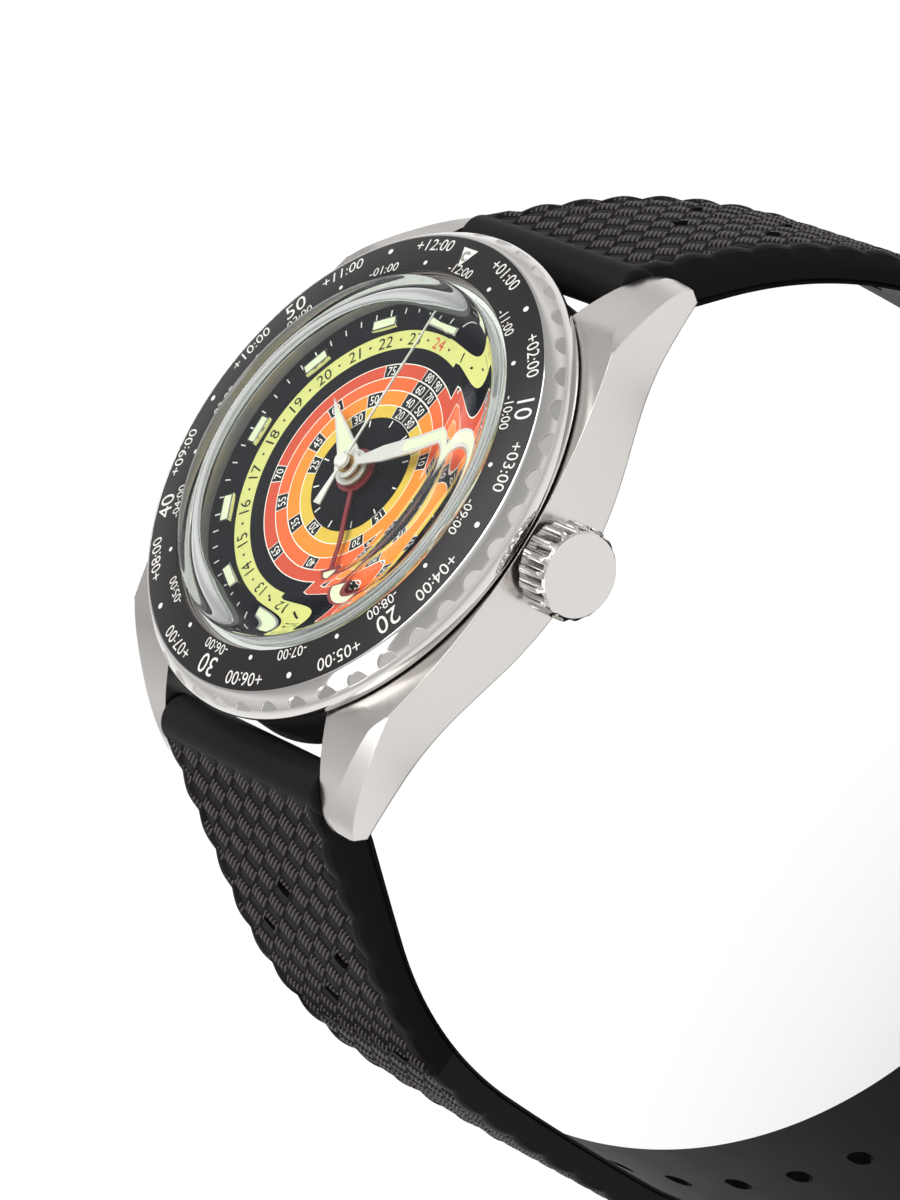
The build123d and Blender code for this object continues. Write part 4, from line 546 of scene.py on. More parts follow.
# %% Bezel ring
under_side = [(16.45, 7.87), (20.14, 7.87), (20.2, 7.93)]
grip_slope = [(20.27, 8.15), (20.32, 8.45), (20.3, 8.72), (20.23, 9.02), (20.05, 9.4),
              (19.82, 9.75), (19.55, 10.1), (19.3, 10.38), (19.2, 10.46), (19.13, 10.49)]
insert_seat = [(19.06, 10.48), (19.06, 10.09), (15.95, 10.49), (15.95, 10.25), (16.45, 10.25),
               (16.45, 7.87)]
bezel_ring = turned(under_side + grip_slope + insert_seat, 352)
punch(bezel_ring, [dent_cutter(index) for index in range(dent_count)])
dress(bezel_ring, "bezel_ring_finished", bright_steel, "bezel", ["bezel_ring"], 24)
print("bezel faces:", len(bezel_ring.data.polygons))

# %% [markdown]
# ## Bezel insert
# The insert is a dark cone ring with two rows of hour offsets, minute numbers every ten, dots
# between them and a pearl pip at the top. The ring is turned from its outline, and the prints are
# flat numbers bent round it, about a hundredth of a millimetre above its slope.

# %% Insert
insert_bore, insert_width = 15.95, 3.10
insert_top, insert_drop = 10.92, 0.40


def insert_level(reach):
    return insert_top - insert_drop * (reach - insert_bore) / insert_width


insert_outline = [(insert_bore, 10.52), (insert_bore, 10.90), (15.99, 10.915), (19.0, 10.525),
                  (19.05, 10.50), (19.05, 10.12), (insert_bore, 10.52)]
insert_piece = dress(turned(insert_outline, 256), "bezel_insert_finished", insert_gloss, "bezel",
                     ["bezel_insert"], 20)
pip = polished("bezel_pip", pearl)
pip_place = points_of(pip)[:, :2].mean(axis=0) / MM
pip_reach = float(np.hypot(*pip_place))
pip_clock = math.degrees(math.atan2(pip_place[0], pip_place[1]))
print("pip at radius and clock angle:", round(pip_reach, 2), round(pip_clock, 2))
print("insert faces:", len(insert_piece.data.polygons))

# %% Insert prints
bezel_turn = 2.0
print_lift = 0.012
outer_row, minute_row, inner_row = 18.22, 17.95, 16.5
outer_size, minute_size, inner_size = 1.02, 1.5, 0.8
bezel_prints = []


def on_insert(reach):
    return insert_level(reach) + print_lift


def on_bezel(piece, radius, clock):
    bezel_prints.append(wrap(piece, radius, clock, on_insert))


for index in range(12):
    clock = bezel_turn + 30 * index
    on_bezel(lettering("+%02d:00" % (index + 1), outer_size), outer_row, clock + 15)
    on_bezel(lettering("-%02d:00" % (12 - index), inner_size), inner_row, clock)
for minute in range(10, 60, 10):
    on_bezel(lettering(str(minute), minute_size), minute_row, bezel_turn + 6 * minute)
for index in range(12):
    clock = bezel_turn + 30 * index
    on_bezel(dot(0.19), 16.55, clock + 15)
    if index % 2:
        on_bezel(dot(0.24), outer_row, clock)

# %% The pip's triangle
triangle_half, triangle_stretch = 0.85, 1.7
triangle = sheet(1.0, 1.0, 1)
place = points_of(triangle)
place[:, 0] = np.sign(place[:, 0]) * (place[:, 1] / MM + 0.5) * triangle_half * MM
place[:, 1] = place[:, 1] * triangle_stretch
move_points(triangle, place)
on_bezel(triangle, pip_reach - 0.1, pip_clock)
bezel_print = dress(joined(bezel_prints), "bezel_numbers", print_white, "bezel")
print("bezel prints:", len(bezel_prints), "faces:", len(bezel_print.data.polygons))

# %% [markdown]
# ## Dial
# The dial is matt blue-black with coloured rings: yellow, orange, coral and red round a dark
# centre, then a yellow-green ring of 24 hours. Rings with one centre are best painted by distance
# from the axis, so they stay perfectly round. White hairlines part them.

# %% Dial paint
rings = [(4.62, 5.63, "#d6b54a"), (5.63, 6.84, "#ee8a35"), (6.84, 7.94, "#f0683a"),
         (7.94, 9.03, "#c9503a"), (10.36, 11.86, "#cccd7e")]
hairlines, hairline_half = [outer for inner, outer, shade in rings[:-1]], 0.035


def dial_paint():
    paint = Paint("dial_rings", Specular_IOR_Level=0.05)
    place = paint.place()
    x, y, unused = paint.parts(place)
    reach = (x * x + y * y).math("SQRT") / MM
    cloud = paint.noise(place, 500.0)
    colour = paint.blend(cloud, tint("#04060c"), tint("#070a14"))
    for inner, outer, shade in rings:
        inside = (reach > inner) * (reach < outer)
        colour = paint.blend(inside, colour, tint(shade))
    for edge in hairlines:
        colour = paint.blend(abs(reach - edge) < hairline_half, colour, tint("#f4efe4"))
    paint.set("Base Color", colour)
    paint.set("Roughness", cloud * 0.1 + 0.5)
    paint.set("Normal", paint.bump(paint.noise(place, 7000.0), 0.001, 0.1))
    return paint.material


dial_rings = dial_paint()
dial = polished("dial", dial_rings)
polished("inner_flange", flange_satin)
print("dial faces:", len(dial.data.polygons))

# %% Dial numbers and ticks
dial_level = 7.5
date_window_hour = 6
black_prints, white_prints, red_prints = [], [], []


def on_dial(prints, piece, radius, clock, lift=0.01):
    prints.append(wrap(piece, radius, clock, flat(dial_level + lift)))


hour_row = (rings[-1][0] + rings[-1][1]) / 2
for hour in range(1, 25):
    if hour != date_window_hour:
        prints = red_prints if hour == 24 else black_prints
        on_dial(prints, lettering(str(hour), 0.98), hour_row, 15 * hour)
for hour in range(24):
    on_dial(black_prints, dot(0.11, 12), hour_row, 15 * hour + 7.5)
for minute in range(60):
    width, length, radius = (0.1, 0.55, 13.75) if minute % 5 else (0.12, 0.75, 13.7)
    on_dial(white_prints, sheet(width, length, 1), radius, 6 * minute)
for tick in range(12):
    on_dial(white_prints, sheet(0.11, 0.55, 1), 4.2, 30 * tick)
print("24-hour prints:", len(black_prints) + len(red_prints), "ticks:", len(white_prints))

# %% Number boxes on the coloured rings
boxes = [
    (5.12, 1.0, (("5", 48), ("15", 118), ("20", 196), ("25", 262), ("30", 316))),
    (6.23, 1.18, (("10", 66), ("20", 140), ("35", 214), ("45", 278), ("50", 330))),
    (7.39, 1.08, (("15", 82), ("30", 128), ("40", 176), ("55", 236), ("60", 300))),
    (8.48, 1.07, (("20", 60), ("35", 104), ("50", 152), ("65", 206), ("70", 254), ("75", 338))),
]
pairs = [(8.48, 1.07, "80", "90"), (7.39, 1.08, "60", "70"),
         (6.23, 1.18, "40", "50"), (5.12, 1.0, "20", "30")]
pair_clock, pair_half, pair_spread = 12, 1.42 / 2, 1.04
box_width, pair_box_width = 1.25, 1.38


def number_box(radius, depth, words, clock, width):
    """A black box with a white border and a number, in three thin layers."""
    on_dial(white_prints, sheet(width + 0.12, depth), radius, clock, 0.008)
    on_dial(black_prints, sheet(width, depth - 0.1), radius, clock, 0.014)
    on_dial(white_prints, lettering(words, 0.72, narrow=0.82), radius, clock, 0.020)


for radius, depth, entries in boxes:
    for words, clock in entries:
        number_box(radius, depth, words, clock, box_width)
for radius, depth, first, second in pairs:
    for words, side in ((first, -1), (second, 1)):
        clock = pair_clock + side * math.degrees(pair_half / radius) * pair_spread
        number_box(radius, depth, words, clock, pair_box_width)
print("number boxes:", sum(len(box[2]) for box in boxes) + 2 * len(pairs))

# %% Join the prints by colour
for prints, name, material in ((white_prints, "dial_white_print", print_white),
                               (black_prints, "dial_black_print", print_black),
                               (red_prints, "dial_red_print", print_red)):
    piece = dress(joined(prints), name, material, "case")
    print(name, "faces:", len(piece.data.polygons))

# %% [markdown]
# ## Markers, date and hands
# Each hour marker is a bright frame filled with lume. The hands carry lume too, inside white
# borders. A lume field is a thin plate: a circle of a few corners whose corners are pulled to the
# field's outline, then extruded by its thickness.

# %% A thin plate from its corners
def plate(corners, low, high, clock):
    piece = added(bpy.ops.mesh.primitive_circle_add, vertices=len(corners), radius=MM,
                  fill_type="NGON")
    turn = math.radians(-clock)
    cosine, sine = math.cos(turn), math.sin(turn)
    spots = [(x * cosine - y * sine, x * sine + y * cosine, low) for x, y in corners]
    move_points(piece, np.array(spots) * MM)
    edit(piece)
    rise = {"value": (0, 0, (high - low) * MM)}
    bpy.ops.mesh.extrude_region_move(TRANSFORM_OT_translate=rise)
    close(piece)
    return piece


# %% Markers, hands and their lume
for node, material in (("hour_marker_frames", frame_bright), ("hour_marker_lume", lume),
                       ("date_ring", date_paper), ("hour_hand", hand_white),
                       ("minute_hand", hand_white), ("seconds_hand", hand_silver),
                       ("gmt_hand", hand_red)):
    polished(node, material, 20)
hour_corners = [(-0.66, 1.75), (0.66, 1.75), (0, 6.45)]
minute_corners = [(-0.4, 5.4), (0.4, 5.4), (0.4, 10.6), (0, 11.35), (-0.4, 10.6)]
gmt_corners = [(-0.6, 8.6), (0.6, 8.6), (0, 10.75)]
for body, corners, low, high, clock in (("hour", hour_corners, 8.46, 8.475, 305.0),
                                        ("minute", minute_corners, 8.91, 8.925, 60.0),
                                        ("gmt", gmt_corners, 8.04, 8.055, 152.5)):
    dress(plate(corners, low, high, clock), body + "_hand_lume", lume, body)
    print(body, "hand at clock angle:", clock)

# %% [markdown]
# ## Date number
# The disc under the dial shows one number in the window at 3 o'clock. All 31 are printed, because
# the disc turns.

# %% Date numbers
shown_day = 12
date_row, date_level = 10.85, 6.805
date_prints = []
for day in range(1, 32):
    clock = 90 - (day - shown_day) * 360 / 31
    number = lettering(str(day), 0.95, narrow=0.8)
    place = points_of(number)
    move_points(number, np.stack([-place[:, 1], place[:, 0], place[:, 2]], axis=1))
    date_prints.append(wrap(number, date_row, clock, flat(date_level)))
date_print = dress(joined(date_prints), "date_numbers", print_black, "date")
print("date faces:", len(date_print.data.polygons))

# %% [markdown]
# ## Crystal
# The crystal is a thick box of sapphire with a gently domed top. Its edge is what bends the dial's
# rim in the picture, so it is turned with truly round shoulders, inside and out.

# %% Crystal
def round_shoulder(start, end, steps):
    """A quarter of an ellipse that leaves the wall upwards and reaches the dome level."""
    (wall, low), (reach, high) = start, end
    turns = [math.radians(90 * index / steps) for index in range(1, steps + 1)]
    return [(reach + (wall - reach) * math.cos(a), low + (high - low) * math.sin(a)) for a in turns]


def dome(reach, low, top, steps):
    """A shallow dome from its edge to the axis."""
    shares = [1 - index / steps for index in range(1, steps + 1)]
    return [(reach * share, top - (top - low) * share ** 2) for share in shares]


def crystal_skin(foot, wall, shoulder, top, steps):
    """Up the foot and the wall, round the shoulder and over the dome."""
    outline = foot + [wall] + round_shoulder(wall, shoulder, steps) + dome(*shoulder, top, 7)
    return turned(outline, 256)


foot_edge = (14.22, 8.87)
inside = crystal_skin([foot_edge, (14.14, 8.95)], (14.14, 9.05), (12.2, 10.95), 11.2, 16)
outside = crystal_skin([foot_edge, (15.14, 8.87), (15.2, 8.93)], (15.2, 11.2), (12.4, 12.9), 13.4,
                       20)
crystal = joined([outside, inside])
edit(crystal)
close(crystal, 2 * weld_distance)
dress(crystal, "crystal_clear", sapphire, "case", ["crystal"], 50)
print("crystal faces:", len(crystal.data.polygons))

# %% [markdown]
# ## Movement
# The movement is closed in by the case back, but it is all there. Merged copies would add nothing
# to small hidden parts, so these nodes stay as they are and take a finish each.

# %% Movement finishes
movement = {
    nickel: ["main_plate", "barrel_bridge", "train_bridge", "balance_cock", "pallet_bridge",
             "date_guard", "wheel_studs", "rotor", "rotor_bearing", "movement_holder"],
    gilt: ["mainspring_barrel", "centre_wheel", "third_wheel", "fourth_wheel", "escape_wheel",
           "balance_wheel", "cannon_pinion", "minute_wheel", "hour_wheel", "gmt_idler",
           "gmt_wheel"],
    ground_steel: ["clutch_wheel", "winding_pinion", "crown_wheel", "ratchet_wheel", "barrel_arbor",
                   "click_pawl", "pallet_fork", "bezel_springs", "mainspring"],
    blue_steel: ["bridge_screws", "hairspring"],
    ruby: ["jewel_bearings"],
    seal_rubber: ["crown_gasket"],
    seal_nylon: ["case_gaskets"],
}
for material, names in movement.items():
    for node in names:
        keep(node, material)
print("movement nodes finished:", sum(len(names) for names in movement.values()))

# %% [markdown]
# ## Strap line
# Each strap half is thick beside the lugs, thins out and bends under its own shape. The line below
# repeats the CAD stations: runs along the strap, each with a length and a turn.

# %% The strap's line
bar_reach, bar_height = 21.4, 3.1
thick_end, thin_end = 3.84, 2.65
thinning_start, thinning_length = 5.5, 24.5


def strap_line(side, lean, lengths, turns, count):
    """Place, height and heading at even runs along a strap half, in millimetres and degrees."""
    knots = np.concatenate([[0], np.cumsum(lengths)])
    run = np.linspace(0, knots[-1], count)
    heading = np.interp(run, knots, lean + np.concatenate([[0], np.cumsum(turns)]))
    slope = np.radians((heading[1:] + heading[:-1]) / 2)
    reach = bar_reach + np.concatenate([[0], np.cumsum(np.cos(slope) * run[1])])
    height = bar_height - np.concatenate([[0], np.cumsum(np.sin(slope) * run[1])])
    return run, side * reach, height, heading


def strap_thickness(run):
    share = np.clip((run - thinning_start) / thinning_length, 0, 1)
    return thick_end + (thin_end - thick_end) * share * (2 - share)


line_12 = strap_line(1, 49.0, (8.0, 28.0, 24.0, 15.0), (0.0, 32.0, 3.0, 7.0), 341)
line_6 = strap_line(-1, 59.0, (14.5, 19.0, 16.0, 66.0), (0.0, 31.0, 3.0, 90.0), 525)
for line in (line_12, line_6):
    print("strap end, as run, reach, height and heading:", [round(float(v[-1]), 2) for v in line])

# %% [markdown]
# ## Woven relief
# The outer face looks like basket work: squares on their corners, half of them ribbed one way and
# half the other, sunk a little between smooth rolled edges. The squares are real shape. The ribs
# are finer than the mesh, so they are bump, drawn from the strap's own UV map, which holds the
# place across and along the strap in millimetres. The ribs' colour is painted light: painted
# highlight on the crests, painted shade in the grooves and on the sunken smooth squares.
# Underside and walls get a run beyond the weave, because they are plain.

# %% Height of the relief
weave_across, weave_along = 2.37, 2.42
weave_margin, border_width = 1.0, 1.9
scallop_length, scallop_depth = 3.6, 0.16
ribbed_level, ribbed_rise = -0.16, 0.10
smooth_level, smooth_rise = -0.30, 0.08
unwoven_level, border_sink = -0.03, 0.28
roll_width, roll_drop = 0.85, 0.62
beyond_weave = 500.0


def weave_place(across, along, start):
    """Place along both diagonals; whole numbers are the middles of the squares."""
    sideways, forwards = across / weave_across, (along - start) / weave_along
    return sideways + forwards, sideways - forwards


def relief(across, along, half_width, start, first, last):
    """How far the outer face stands above or below the plain strap."""
    p, q = weave_place(across, along, start)
    cell_p, cell_q = np.round(p), np.round(q)
    crown = (1 - (2 * np.abs(p - cell_p)) ** 4) * (1 - (2 * np.abs(q - cell_q)) ** 4)
    ribbed = (np.abs(cell_p + cell_q) % 2) < 0.5
    square = np.where(ribbed, ribbed_level + ribbed_rise * crown,
                      smooth_level + smooth_rise * crown)
    woven = np.where((cell_p - cell_q) / 2 >= first, square, unwoven_level)
    wave = np.abs(np.sin(np.pi * along / scallop_length))
    out = np.abs(across)
    edge = np.clip((out - (half_width - weave_margin - 0.35 * wave)) / 0.22, 0, 1)
    tail = np.clip((along - last) / 0.3, 0, 1)
    edge = np.maximum(edge, tail)
    roll = np.clip((out - (half_width - roll_width)) / roll_width, 0, 1)
    shoulder = -roll_drop * (1 - np.sqrt(np.clip(1 - roll ** 2, 0, 1)))
    border = np.clip((out - (half_width - border_width)) / 0.7, 0, 1) * (along > start) * (1 - tail)
    return woven * (1 - edge) + shoulder * edge - border_sink * (1 - wave) * border


# %% Width and cross section
root_half, width_loss, width_fall = 10.45, 1.45, 34.0
tip_length, tip_radius, tip_flat = 7.0, 7.0, 2.0
wall_levels = [0.6, 0.0, -0.62, -0.72, -0.82]
parting_level = -0.72
wall_count, top_count, under_count = 5, 97, 9


def strap_half_width(height, run, tip):
    half = root_half - width_loss * np.clip((bar_height - height) / width_fall, 0, 1)
    if tip:
        into = np.clip(run - (run[-1] - tip_length), 0, tip_radius - 0.02)
        half = np.where(into > 0, tip_flat + np.sqrt(tip_radius ** 2 - into ** 2), half)
    return half


def strap_section():
    """Once round the section from the top's left edge: shares of half the width and thickness."""
    sideways = [np.linspace(-1, 1, top_count), np.full(wall_count, 1.0),
                np.linspace(1, -1, under_count), np.full(wall_count, -1.0)]
    levels = [np.ones(top_count), wall_levels, -np.ones(under_count), wall_levels[::-1]]
    return np.concatenate(sideways), np.concatenate(levels)


# %% A strap band
underside_inset, parting_groove, wall_drop = 0.12, 0.22, 0.31


def strap_band(line, side, start, first, last, tip=False):
    """Loft the closed cross section of a strap half along its line."""
    run, reach, height, heading = line
    sideways, levels = strap_section()
    columns, stations = len(sideways), len(run)
    piece = added(bpy.ops.mesh.primitive_grid_add, x_subdivisions=columns,
                  y_subdivisions=stations - 1, size=1)
    grid = points_of(piece)
    column = np.rint((grid[:, 0] + 0.5) * columns).astype(int) % columns
    station = np.rint((grid[:, 1] + 0.5) * (stations - 1)).astype(int)
    half = strap_half_width(height, run, tip)[station]
    along = run[station]
    across = sideways[column] * half
    share = levels[column]
    top, under = share > 0.999, share < -0.999
    thick = strap_thickness(along) / 2
    lift = relief(across, along, half, start, first, last)
    walls = np.clip(share, -1, 1) * (thick - wall_drop) - wall_drop
    level = np.where(under, -thick, np.where(top, thick + lift, walls))
    scallop = scallop_depth * np.abs(np.sin(np.pi * along / scallop_length))
    inset = np.where(top & (np.abs(sideways[column]) > 0.999), scallop, 0.0)
    inset = np.where(under, underside_inset, inset)
    inset = np.where(np.abs(share - parting_level) < 0.01, parting_groove, inset)
    tilt = np.radians(heading[station])
    y = reach[station] + side * np.sin(tilt) * level
    z = height[station] + np.cos(tilt) * level
    move_points(piece, np.stack([across * (1 - inset / half), y, z], axis=1) * MM)
    woven = top & (np.abs(across) < half - weave_margin)
    map_weave(piece, across, np.where(woven, along, beyond_weave))
    cap_ends(piece)
    return piece


# %% The weave's map and the band's ends
def map_weave(piece, across, along):
    """Write the place across and along the strap into the UV map."""
    corner = np.zeros(len(piece.data.loops), dtype=int)
    piece.data.loops.foreach_get("vertex_index", corner)
    place = np.stack([across[corner], along[corner]], axis=1)
    piece.data.uv_layers[0].data.foreach_set("uv", place.ravel())


def cap_ends(piece):
    edit(piece)
    bpy.ops.mesh.remove_doubles(threshold=weld_distance)
    bpy.ops.mesh.select_all(action="DESELECT")
    bpy.ops.mesh.select_non_manifold()
    bpy.ops.mesh.edge_face_add()
    close(piece)


# %% Ribbed rubber
ribs_in_square = 5


def woven_rubber(name, start, first, last):
    paint = rubber(name, strap_black, 0.48)
    paint.set("Specular IOR Level", 0.07)
    across, along, unused = paint.parts(paint.place("UV"))
    p, q = weave_place(across, along, start)
    cell_p, cell_q = p.math("ROUND"), q.math("ROUND")
    odd = abs(cell_p + cell_q).math("MODULO", 2.0) > 0.5
    rib_turn = ribs_in_square * 2 * math.pi
    rib_p = ((p - cell_p) * rib_turn).math("COSINE")
    rib_q = ((q - cell_q) * rib_turn).math("COSINE")
    inside = ((cell_p - cell_q) / 2 > first - 0.01) * (along < last)
    ribs = (rib_p * (1 - odd) + rib_q * odd * 0.3) * inside
    skin = paint.bump(paint.noise(paint.place(), skin_scale, 2.0), skin_depth, skin_strength)
    paint.set("Normal", paint.bump(ribs, 0.13, 1.0, skin))
    # Painted highlight on rib crests, painted shade in rib grooves and sunken smooth squares
    height = rib_p * (1 - odd) * 0.5 + 0.5 - odd * 0.42
    woven = paint.blend(height, tint("#030303"), tint("#6a6263"))
    paint.set("Base Color", paint.blend(inside, tint(strap_black), woven))
    return paint.material


middle = relief(np.zeros(1), np.array([1.3]), np.array([10.4]), 1.3, 0, 99)
print("relief at the middle of a ribbed square:", round(float(middle[0]), 3))

# %% [markdown]
# ## Strap halves
# Holes are cut last, as they are punched in rubber: diamonds that let the skin breathe, and slots
# for the buckle's tongue. All the cutters of one half are joined, so one Boolean does it.

# %% Where a run lies on a strap
def strap_matrix(line, side, run):
    """X across, Y along towards the free end and Z out of the outer face."""
    runs, reach, height, heading = line
    y, z, lean = (float(np.interp(run, runs, values)) for values in (reach, height, heading))
    tilt = math.radians(lean)
    along = Vector((0, side * math.cos(tilt), -math.sin(tilt)))
    out = Vector((0, side * math.sin(tilt), math.cos(tilt)))
    across = along.cross(out)
    turn = Matrix((across, along, out)).transposed().to_4x4()
    return Matrix.Translation(Vector((0, y, z)) * MM) @ turn


# %% Cutters
vent_radius = 0.92
vent_start, vent_step, vent_side = 11.1, 4.9, 4.9
slot_radius, slot_stretch = 0.95, 0.35
slot_count, slot_step, tip_margin = 9, 6.4, 16.0
tongue_opening = (3.0, 6.2, 8.0)


def vent_cutter(matrix, across):
    piece = added(bpy.ops.mesh.primitive_cylinder_add, vertices=4, radius=vent_radius * MM,
                  depth=6 * MM)
    piece.data.transform(matrix @ Matrix.Translation((across * MM, 0, 0)))
    return piece


def vents(line, side, last):
    """Diamond cutters in rows of one and two, as far as a run."""
    cutters = []
    run, sides = vent_start, (0,)
    while run <= last:
        cutters += [vent_cutter(strap_matrix(line, side, run), across) for across in sides]
        run, sides = run + vent_step, ((-vent_side, vent_side) if len(sides) == 1 else (0,))
    return cutters


def slot_cutter(matrix):
    piece = added(bpy.ops.mesh.primitive_cylinder_add, vertices=32, radius=slot_radius * MM,
                  depth=5 * MM)
    place = points_of(piece)
    place[:, 0] += np.sign(np.round(place[:, 0] / MM, 4)) * slot_stretch * MM
    move_points(piece, place)
    piece.data.transform(matrix)
    return piece


def tongue_slot(matrix):
    """The opening that lets the tongue turn on the bar at the buckle end."""
    piece = added(bpy.ops.mesh.primitive_cube_add, size=MM)
    piece.data.transform(matrix @ Matrix.Diagonal((*tongue_opening, 1)))
    return piece


# %% The two halves
buckle_run, tip_run = 75.0, 115.5
weave_12 = (2.5, -0.5, 55.0)
weave_6 = (1.3, 0.0, 108.0)
strap_12 = strap_band(line_12, 1, *weave_12)
punch(strap_12, vents(line_12, 1, 54.5) + [tongue_slot(strap_matrix(line_12, 1, buckle_run))])
strap_6 = strap_band(line_6, -1, *weave_6, True)
cutters = vents(line_6, -1, 44.0)
for index in range(slot_count):
    run = tip_run - tip_margin - slot_step * index
    cutters.append(slot_cutter(strap_matrix(line_6, -1, run)))
punch(strap_6, cutters)
for piece, body, weave in ((strap_12, "strap_12", weave_12), (strap_6, "strap_6", weave_6)):
    rubber_woven = woven_rubber(body.replace("strap", "strap_weave"), *weave)
    dress(piece, body + "_band", rubber_woven, body, [body], 40)
    print(body, "faces:", len(piece.data.polygons))

# %% Rolled ends
bar_roll, buckle_roll = (1.9, 10.43), (1.53, 8.98)


def rolled_end(line, side, run, size, name, body):
    radius, half = size
    piece = added(bpy.ops.mesh.primitive_cylinder_add, vertices=64, radius=radius * MM,
                  depth=2 * half * MM)
    across = Matrix.Rotation(math.radians(90), 4, "Y")
    piece.data.transform(strap_matrix(line, side, run) @ across)
    modify(piece, "BEVEL", width=0.35 * MM, segments=4)
    return dress(piece, name, rubber_plain, body, angle=40)


rolled_end(line_12, 1, 0.0, bar_roll, "strap_12_roll", "strap_12")
rolled_end(line_6, -1, 0.0, bar_roll, "strap_6_roll", "strap_6")
buckle_end = rolled_end(line_12, 1, buckle_run, buckle_roll, "strap_12_buckle_roll", "strap_12")
punch(buckle_end, [tongue_slot(strap_matrix(line_12, 1, buckle_run))])
print("buckle roll faces:", len(buckle_end.data.polygons))

# %% Keepers
keeper_run, keeper_half_length = 61.0, 2.5
quarters = ((1, 1, 0), (-1, 1, 90), (-1, -1, 180), (1, -1, 270))


def rounded_box(half_width, low, high, radius):
    corners = []
    for across, rise, start in quarters:
        level = high - radius if rise > 0 else low + radius
        corners += arc((across * (half_width - radius), level), radius, start, start + 90, 6)
    return np.array(corners)


def keeper_ring(outline, along):
    return np.stack([outline[:, 0], np.full(len(outline), along), outline[:, 1]], axis=1) * MM


def keeper(outer, inner):
    """A closed loop: the outer outline is drawn out, stepped in and drawn back."""
    piece = added(bpy.ops.mesh.primitive_circle_add, vertices=len(outer), radius=MM)
    front, rear = -keeper_half_length, keeper_half_length
    move_points(piece, keeper_ring(outer, front))
    edit(piece)
    for outline, along in ((outer, rear), (inner, rear), (inner, front), (outer, front)):
        bpy.ops.mesh.extrude_edges_move(TRANSFORM_OT_translate={"value": (0, 0, 0)})
        bpy.ops.object.mode_set(mode="OBJECT")
        place = points_of(piece)
        place[-len(outline):] = keeper_ring(outline, along)
        move_points(piece, place)
        bpy.ops.object.mode_set(mode="EDIT")
    close(piece)
    return piece


polished("free_keeper", rubber_plain, 40)
moulded = keeper(rounded_box(10.4, -2.725, 5.675, 1.1), rounded_box(9.3, 1.25, 4.575, 0.5))
moulded.data.transform(strap_matrix(line_12, 1, keeper_run))
dress(moulded, "strap_12_moulded_keeper", rubber_plain, "strap_12", angle=40)
print("keeper faces:", len(moulded.data.polygons))

# %% [markdown]
# ## Floor, lamps and camera
# The photograph is a product shot on white. A pale floor, a bright room and two large soft lamps
# give it. The room has a light band low over the horizon, for the polished flanks to mirror, and a
# greyer belt above it, which keeps the crystal clear. A dark card under the watch is seen by
# reflections alone. The camera stands where the photograph's camera stood, found by fitting the
# bezel's and the dial's circles.

# %% Floor
floor_size, floor_gap = 6.0, 0.0002


def mottled(name, scale, first, second, **sockets):
    """A plain painted surface whose shade wanders between two colours."""
    paint = Paint(name, **sockets)
    paint.set("Base Color", paint.blend(paint.noise(paint.place(), scale), first, second))
    return paint.material


floor = added(bpy.ops.mesh.primitive_plane_add, size=floor_size,
              location=(0, 0, cad_box[0].z - floor_gap))
floor.name = "floor"
bpy.ops.object.transform_apply(location=True, rotation=False, scale=False)
floor.data.materials.append(mottled("pale_floor", 3.0, (0.93, 0.93, 0.93, 1), (0.96, 0.96, 0.96, 1),
                                    Roughness=0.7, Specular_IOR_Level=0.2))
print("floor height mm:", round(cad_box[0].z / MM, 2))

# %% Lamps
def lamp(name, place, width, height, power):
    """A soft rectangle of light that faces the watch."""
    bpy.ops.object.light_add(type="AREA", location=place)
    light = bpy.context.object
    light.name = name
    light.data.shape = "RECTANGLE"
    light.data.size = width
    light.data.size_y = height
    light.data.energy = power
    light.rotation_euler = (-Vector(place)).to_track_quat("-Z", "Y").to_euler()


lamp("lamp_top", (-0.1, 0.1, 0.6), 0.5, 0.5, 2.4)
lamp("lamp_left", (0.15, -0.6, 0.35), 0.3, 0.5, 0.9)

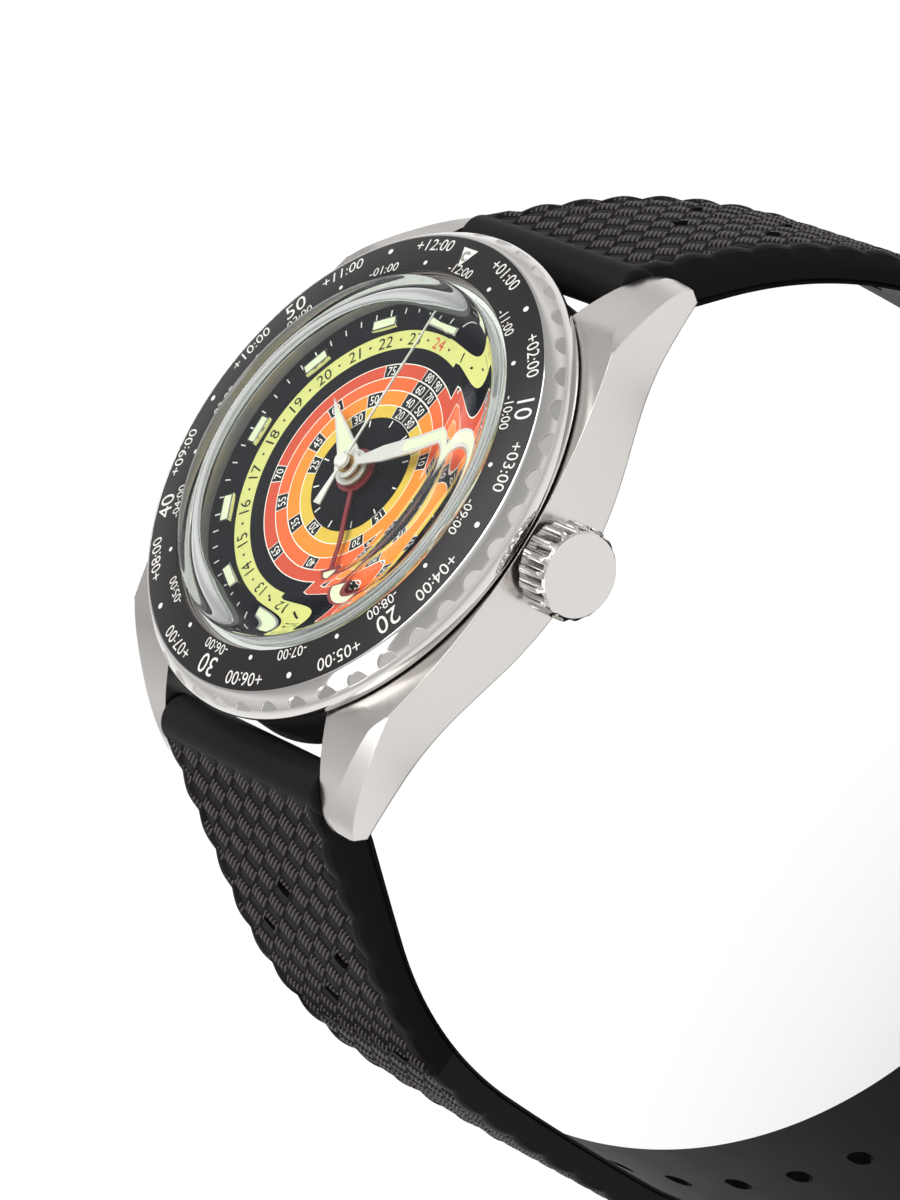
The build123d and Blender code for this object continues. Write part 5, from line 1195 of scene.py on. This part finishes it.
# %% A card that only reflections see
card_level, card_size = -0.02, (0.07, 0.075)
card = added(bpy.ops.mesh.primitive_plane_add, size=1.0)
card.data.transform(Matrix.Translation((0, 0, card_level)) @ Matrix.Diagonal((*card_size, 1, 1)))
card.name = "card_below"
card.data.materials.append(mottled("card_below", 5.0, tint("#101010"), tint("#303030"),
                                   Roughness=0.9, Specular_IOR_Level=0.0))
card.visible_camera = card.visible_diffuse = card.visible_shadow = card.visible_transmission = False
print("card mm:", [round(size / MM) for size in card_size])

# %% The room
room_shades = ((0.0, 0.9), (0.5, 0.62), (0.62, 0.85), (0.7, 0.5), (0.86, 0.42), (1.0, 1.0))
world = bpy.data.worlds.new("room")
bpy.context.scene.world = world
world.use_nodes = True
tree = world.node_tree
direction = tree.nodes.new("ShaderNodeTexCoord")
split = tree.nodes.new("ShaderNodeSeparateXYZ")
ramp = tree.nodes.new("ShaderNodeValToRGB")
remap = tree.nodes.new("ShaderNodeMapRange")
remap.inputs["From Min"].default_value = -1.0
elements = ramp.color_ramp.elements
for place, shade in room_shades[1:-1]:
    elements.new(place)
for element, (place, shade) in zip(elements, room_shades):
    element.color = (shade, shade, shade, 1.0)
tree.links.new(direction.outputs["Generated"], split.inputs[0])
tree.links.new(split.outputs[2], remap.inputs["Value"])
tree.links.new(remap.outputs[0], ramp.inputs[0])
tree.links.new(ramp.outputs[0], tree.nodes["Background"].inputs[0])
bpy.context.scene.view_settings.view_transform = "Standard"
print("room shades from below to above:", [shade for place, shade in room_shades])

# %% Camera
right = Vector((0.56213629, 0.52132415, -0.64204666))
up = Vector((-0.24318555, 0.84618639, 0.47416177))
back = Vector((0.79048313, -0.11040707, 0.60245058))
stand = Matrix.Translation((0.361599, -0.054074, 0.270879))
bpy.ops.object.camera_add()
camera = bpy.context.object
camera.matrix_world = stand @ Matrix((right, up, back)).transposed().to_4x4()
camera.data.lens = 183.825
camera.data.sensor_width = 36.0
camera.data.clip_start = 0.01
camera.data.dof.use_dof = False
bpy.context.scene.camera = camera
print("camera at mm:", [round(v / MM, 1) for v in camera.location])

# %% Spare meshes removed
for spare in [o for o in bpy.data.objects if o.type == "MESH" and not o.users_scene]:
    bpy.data.objects.remove(spare)
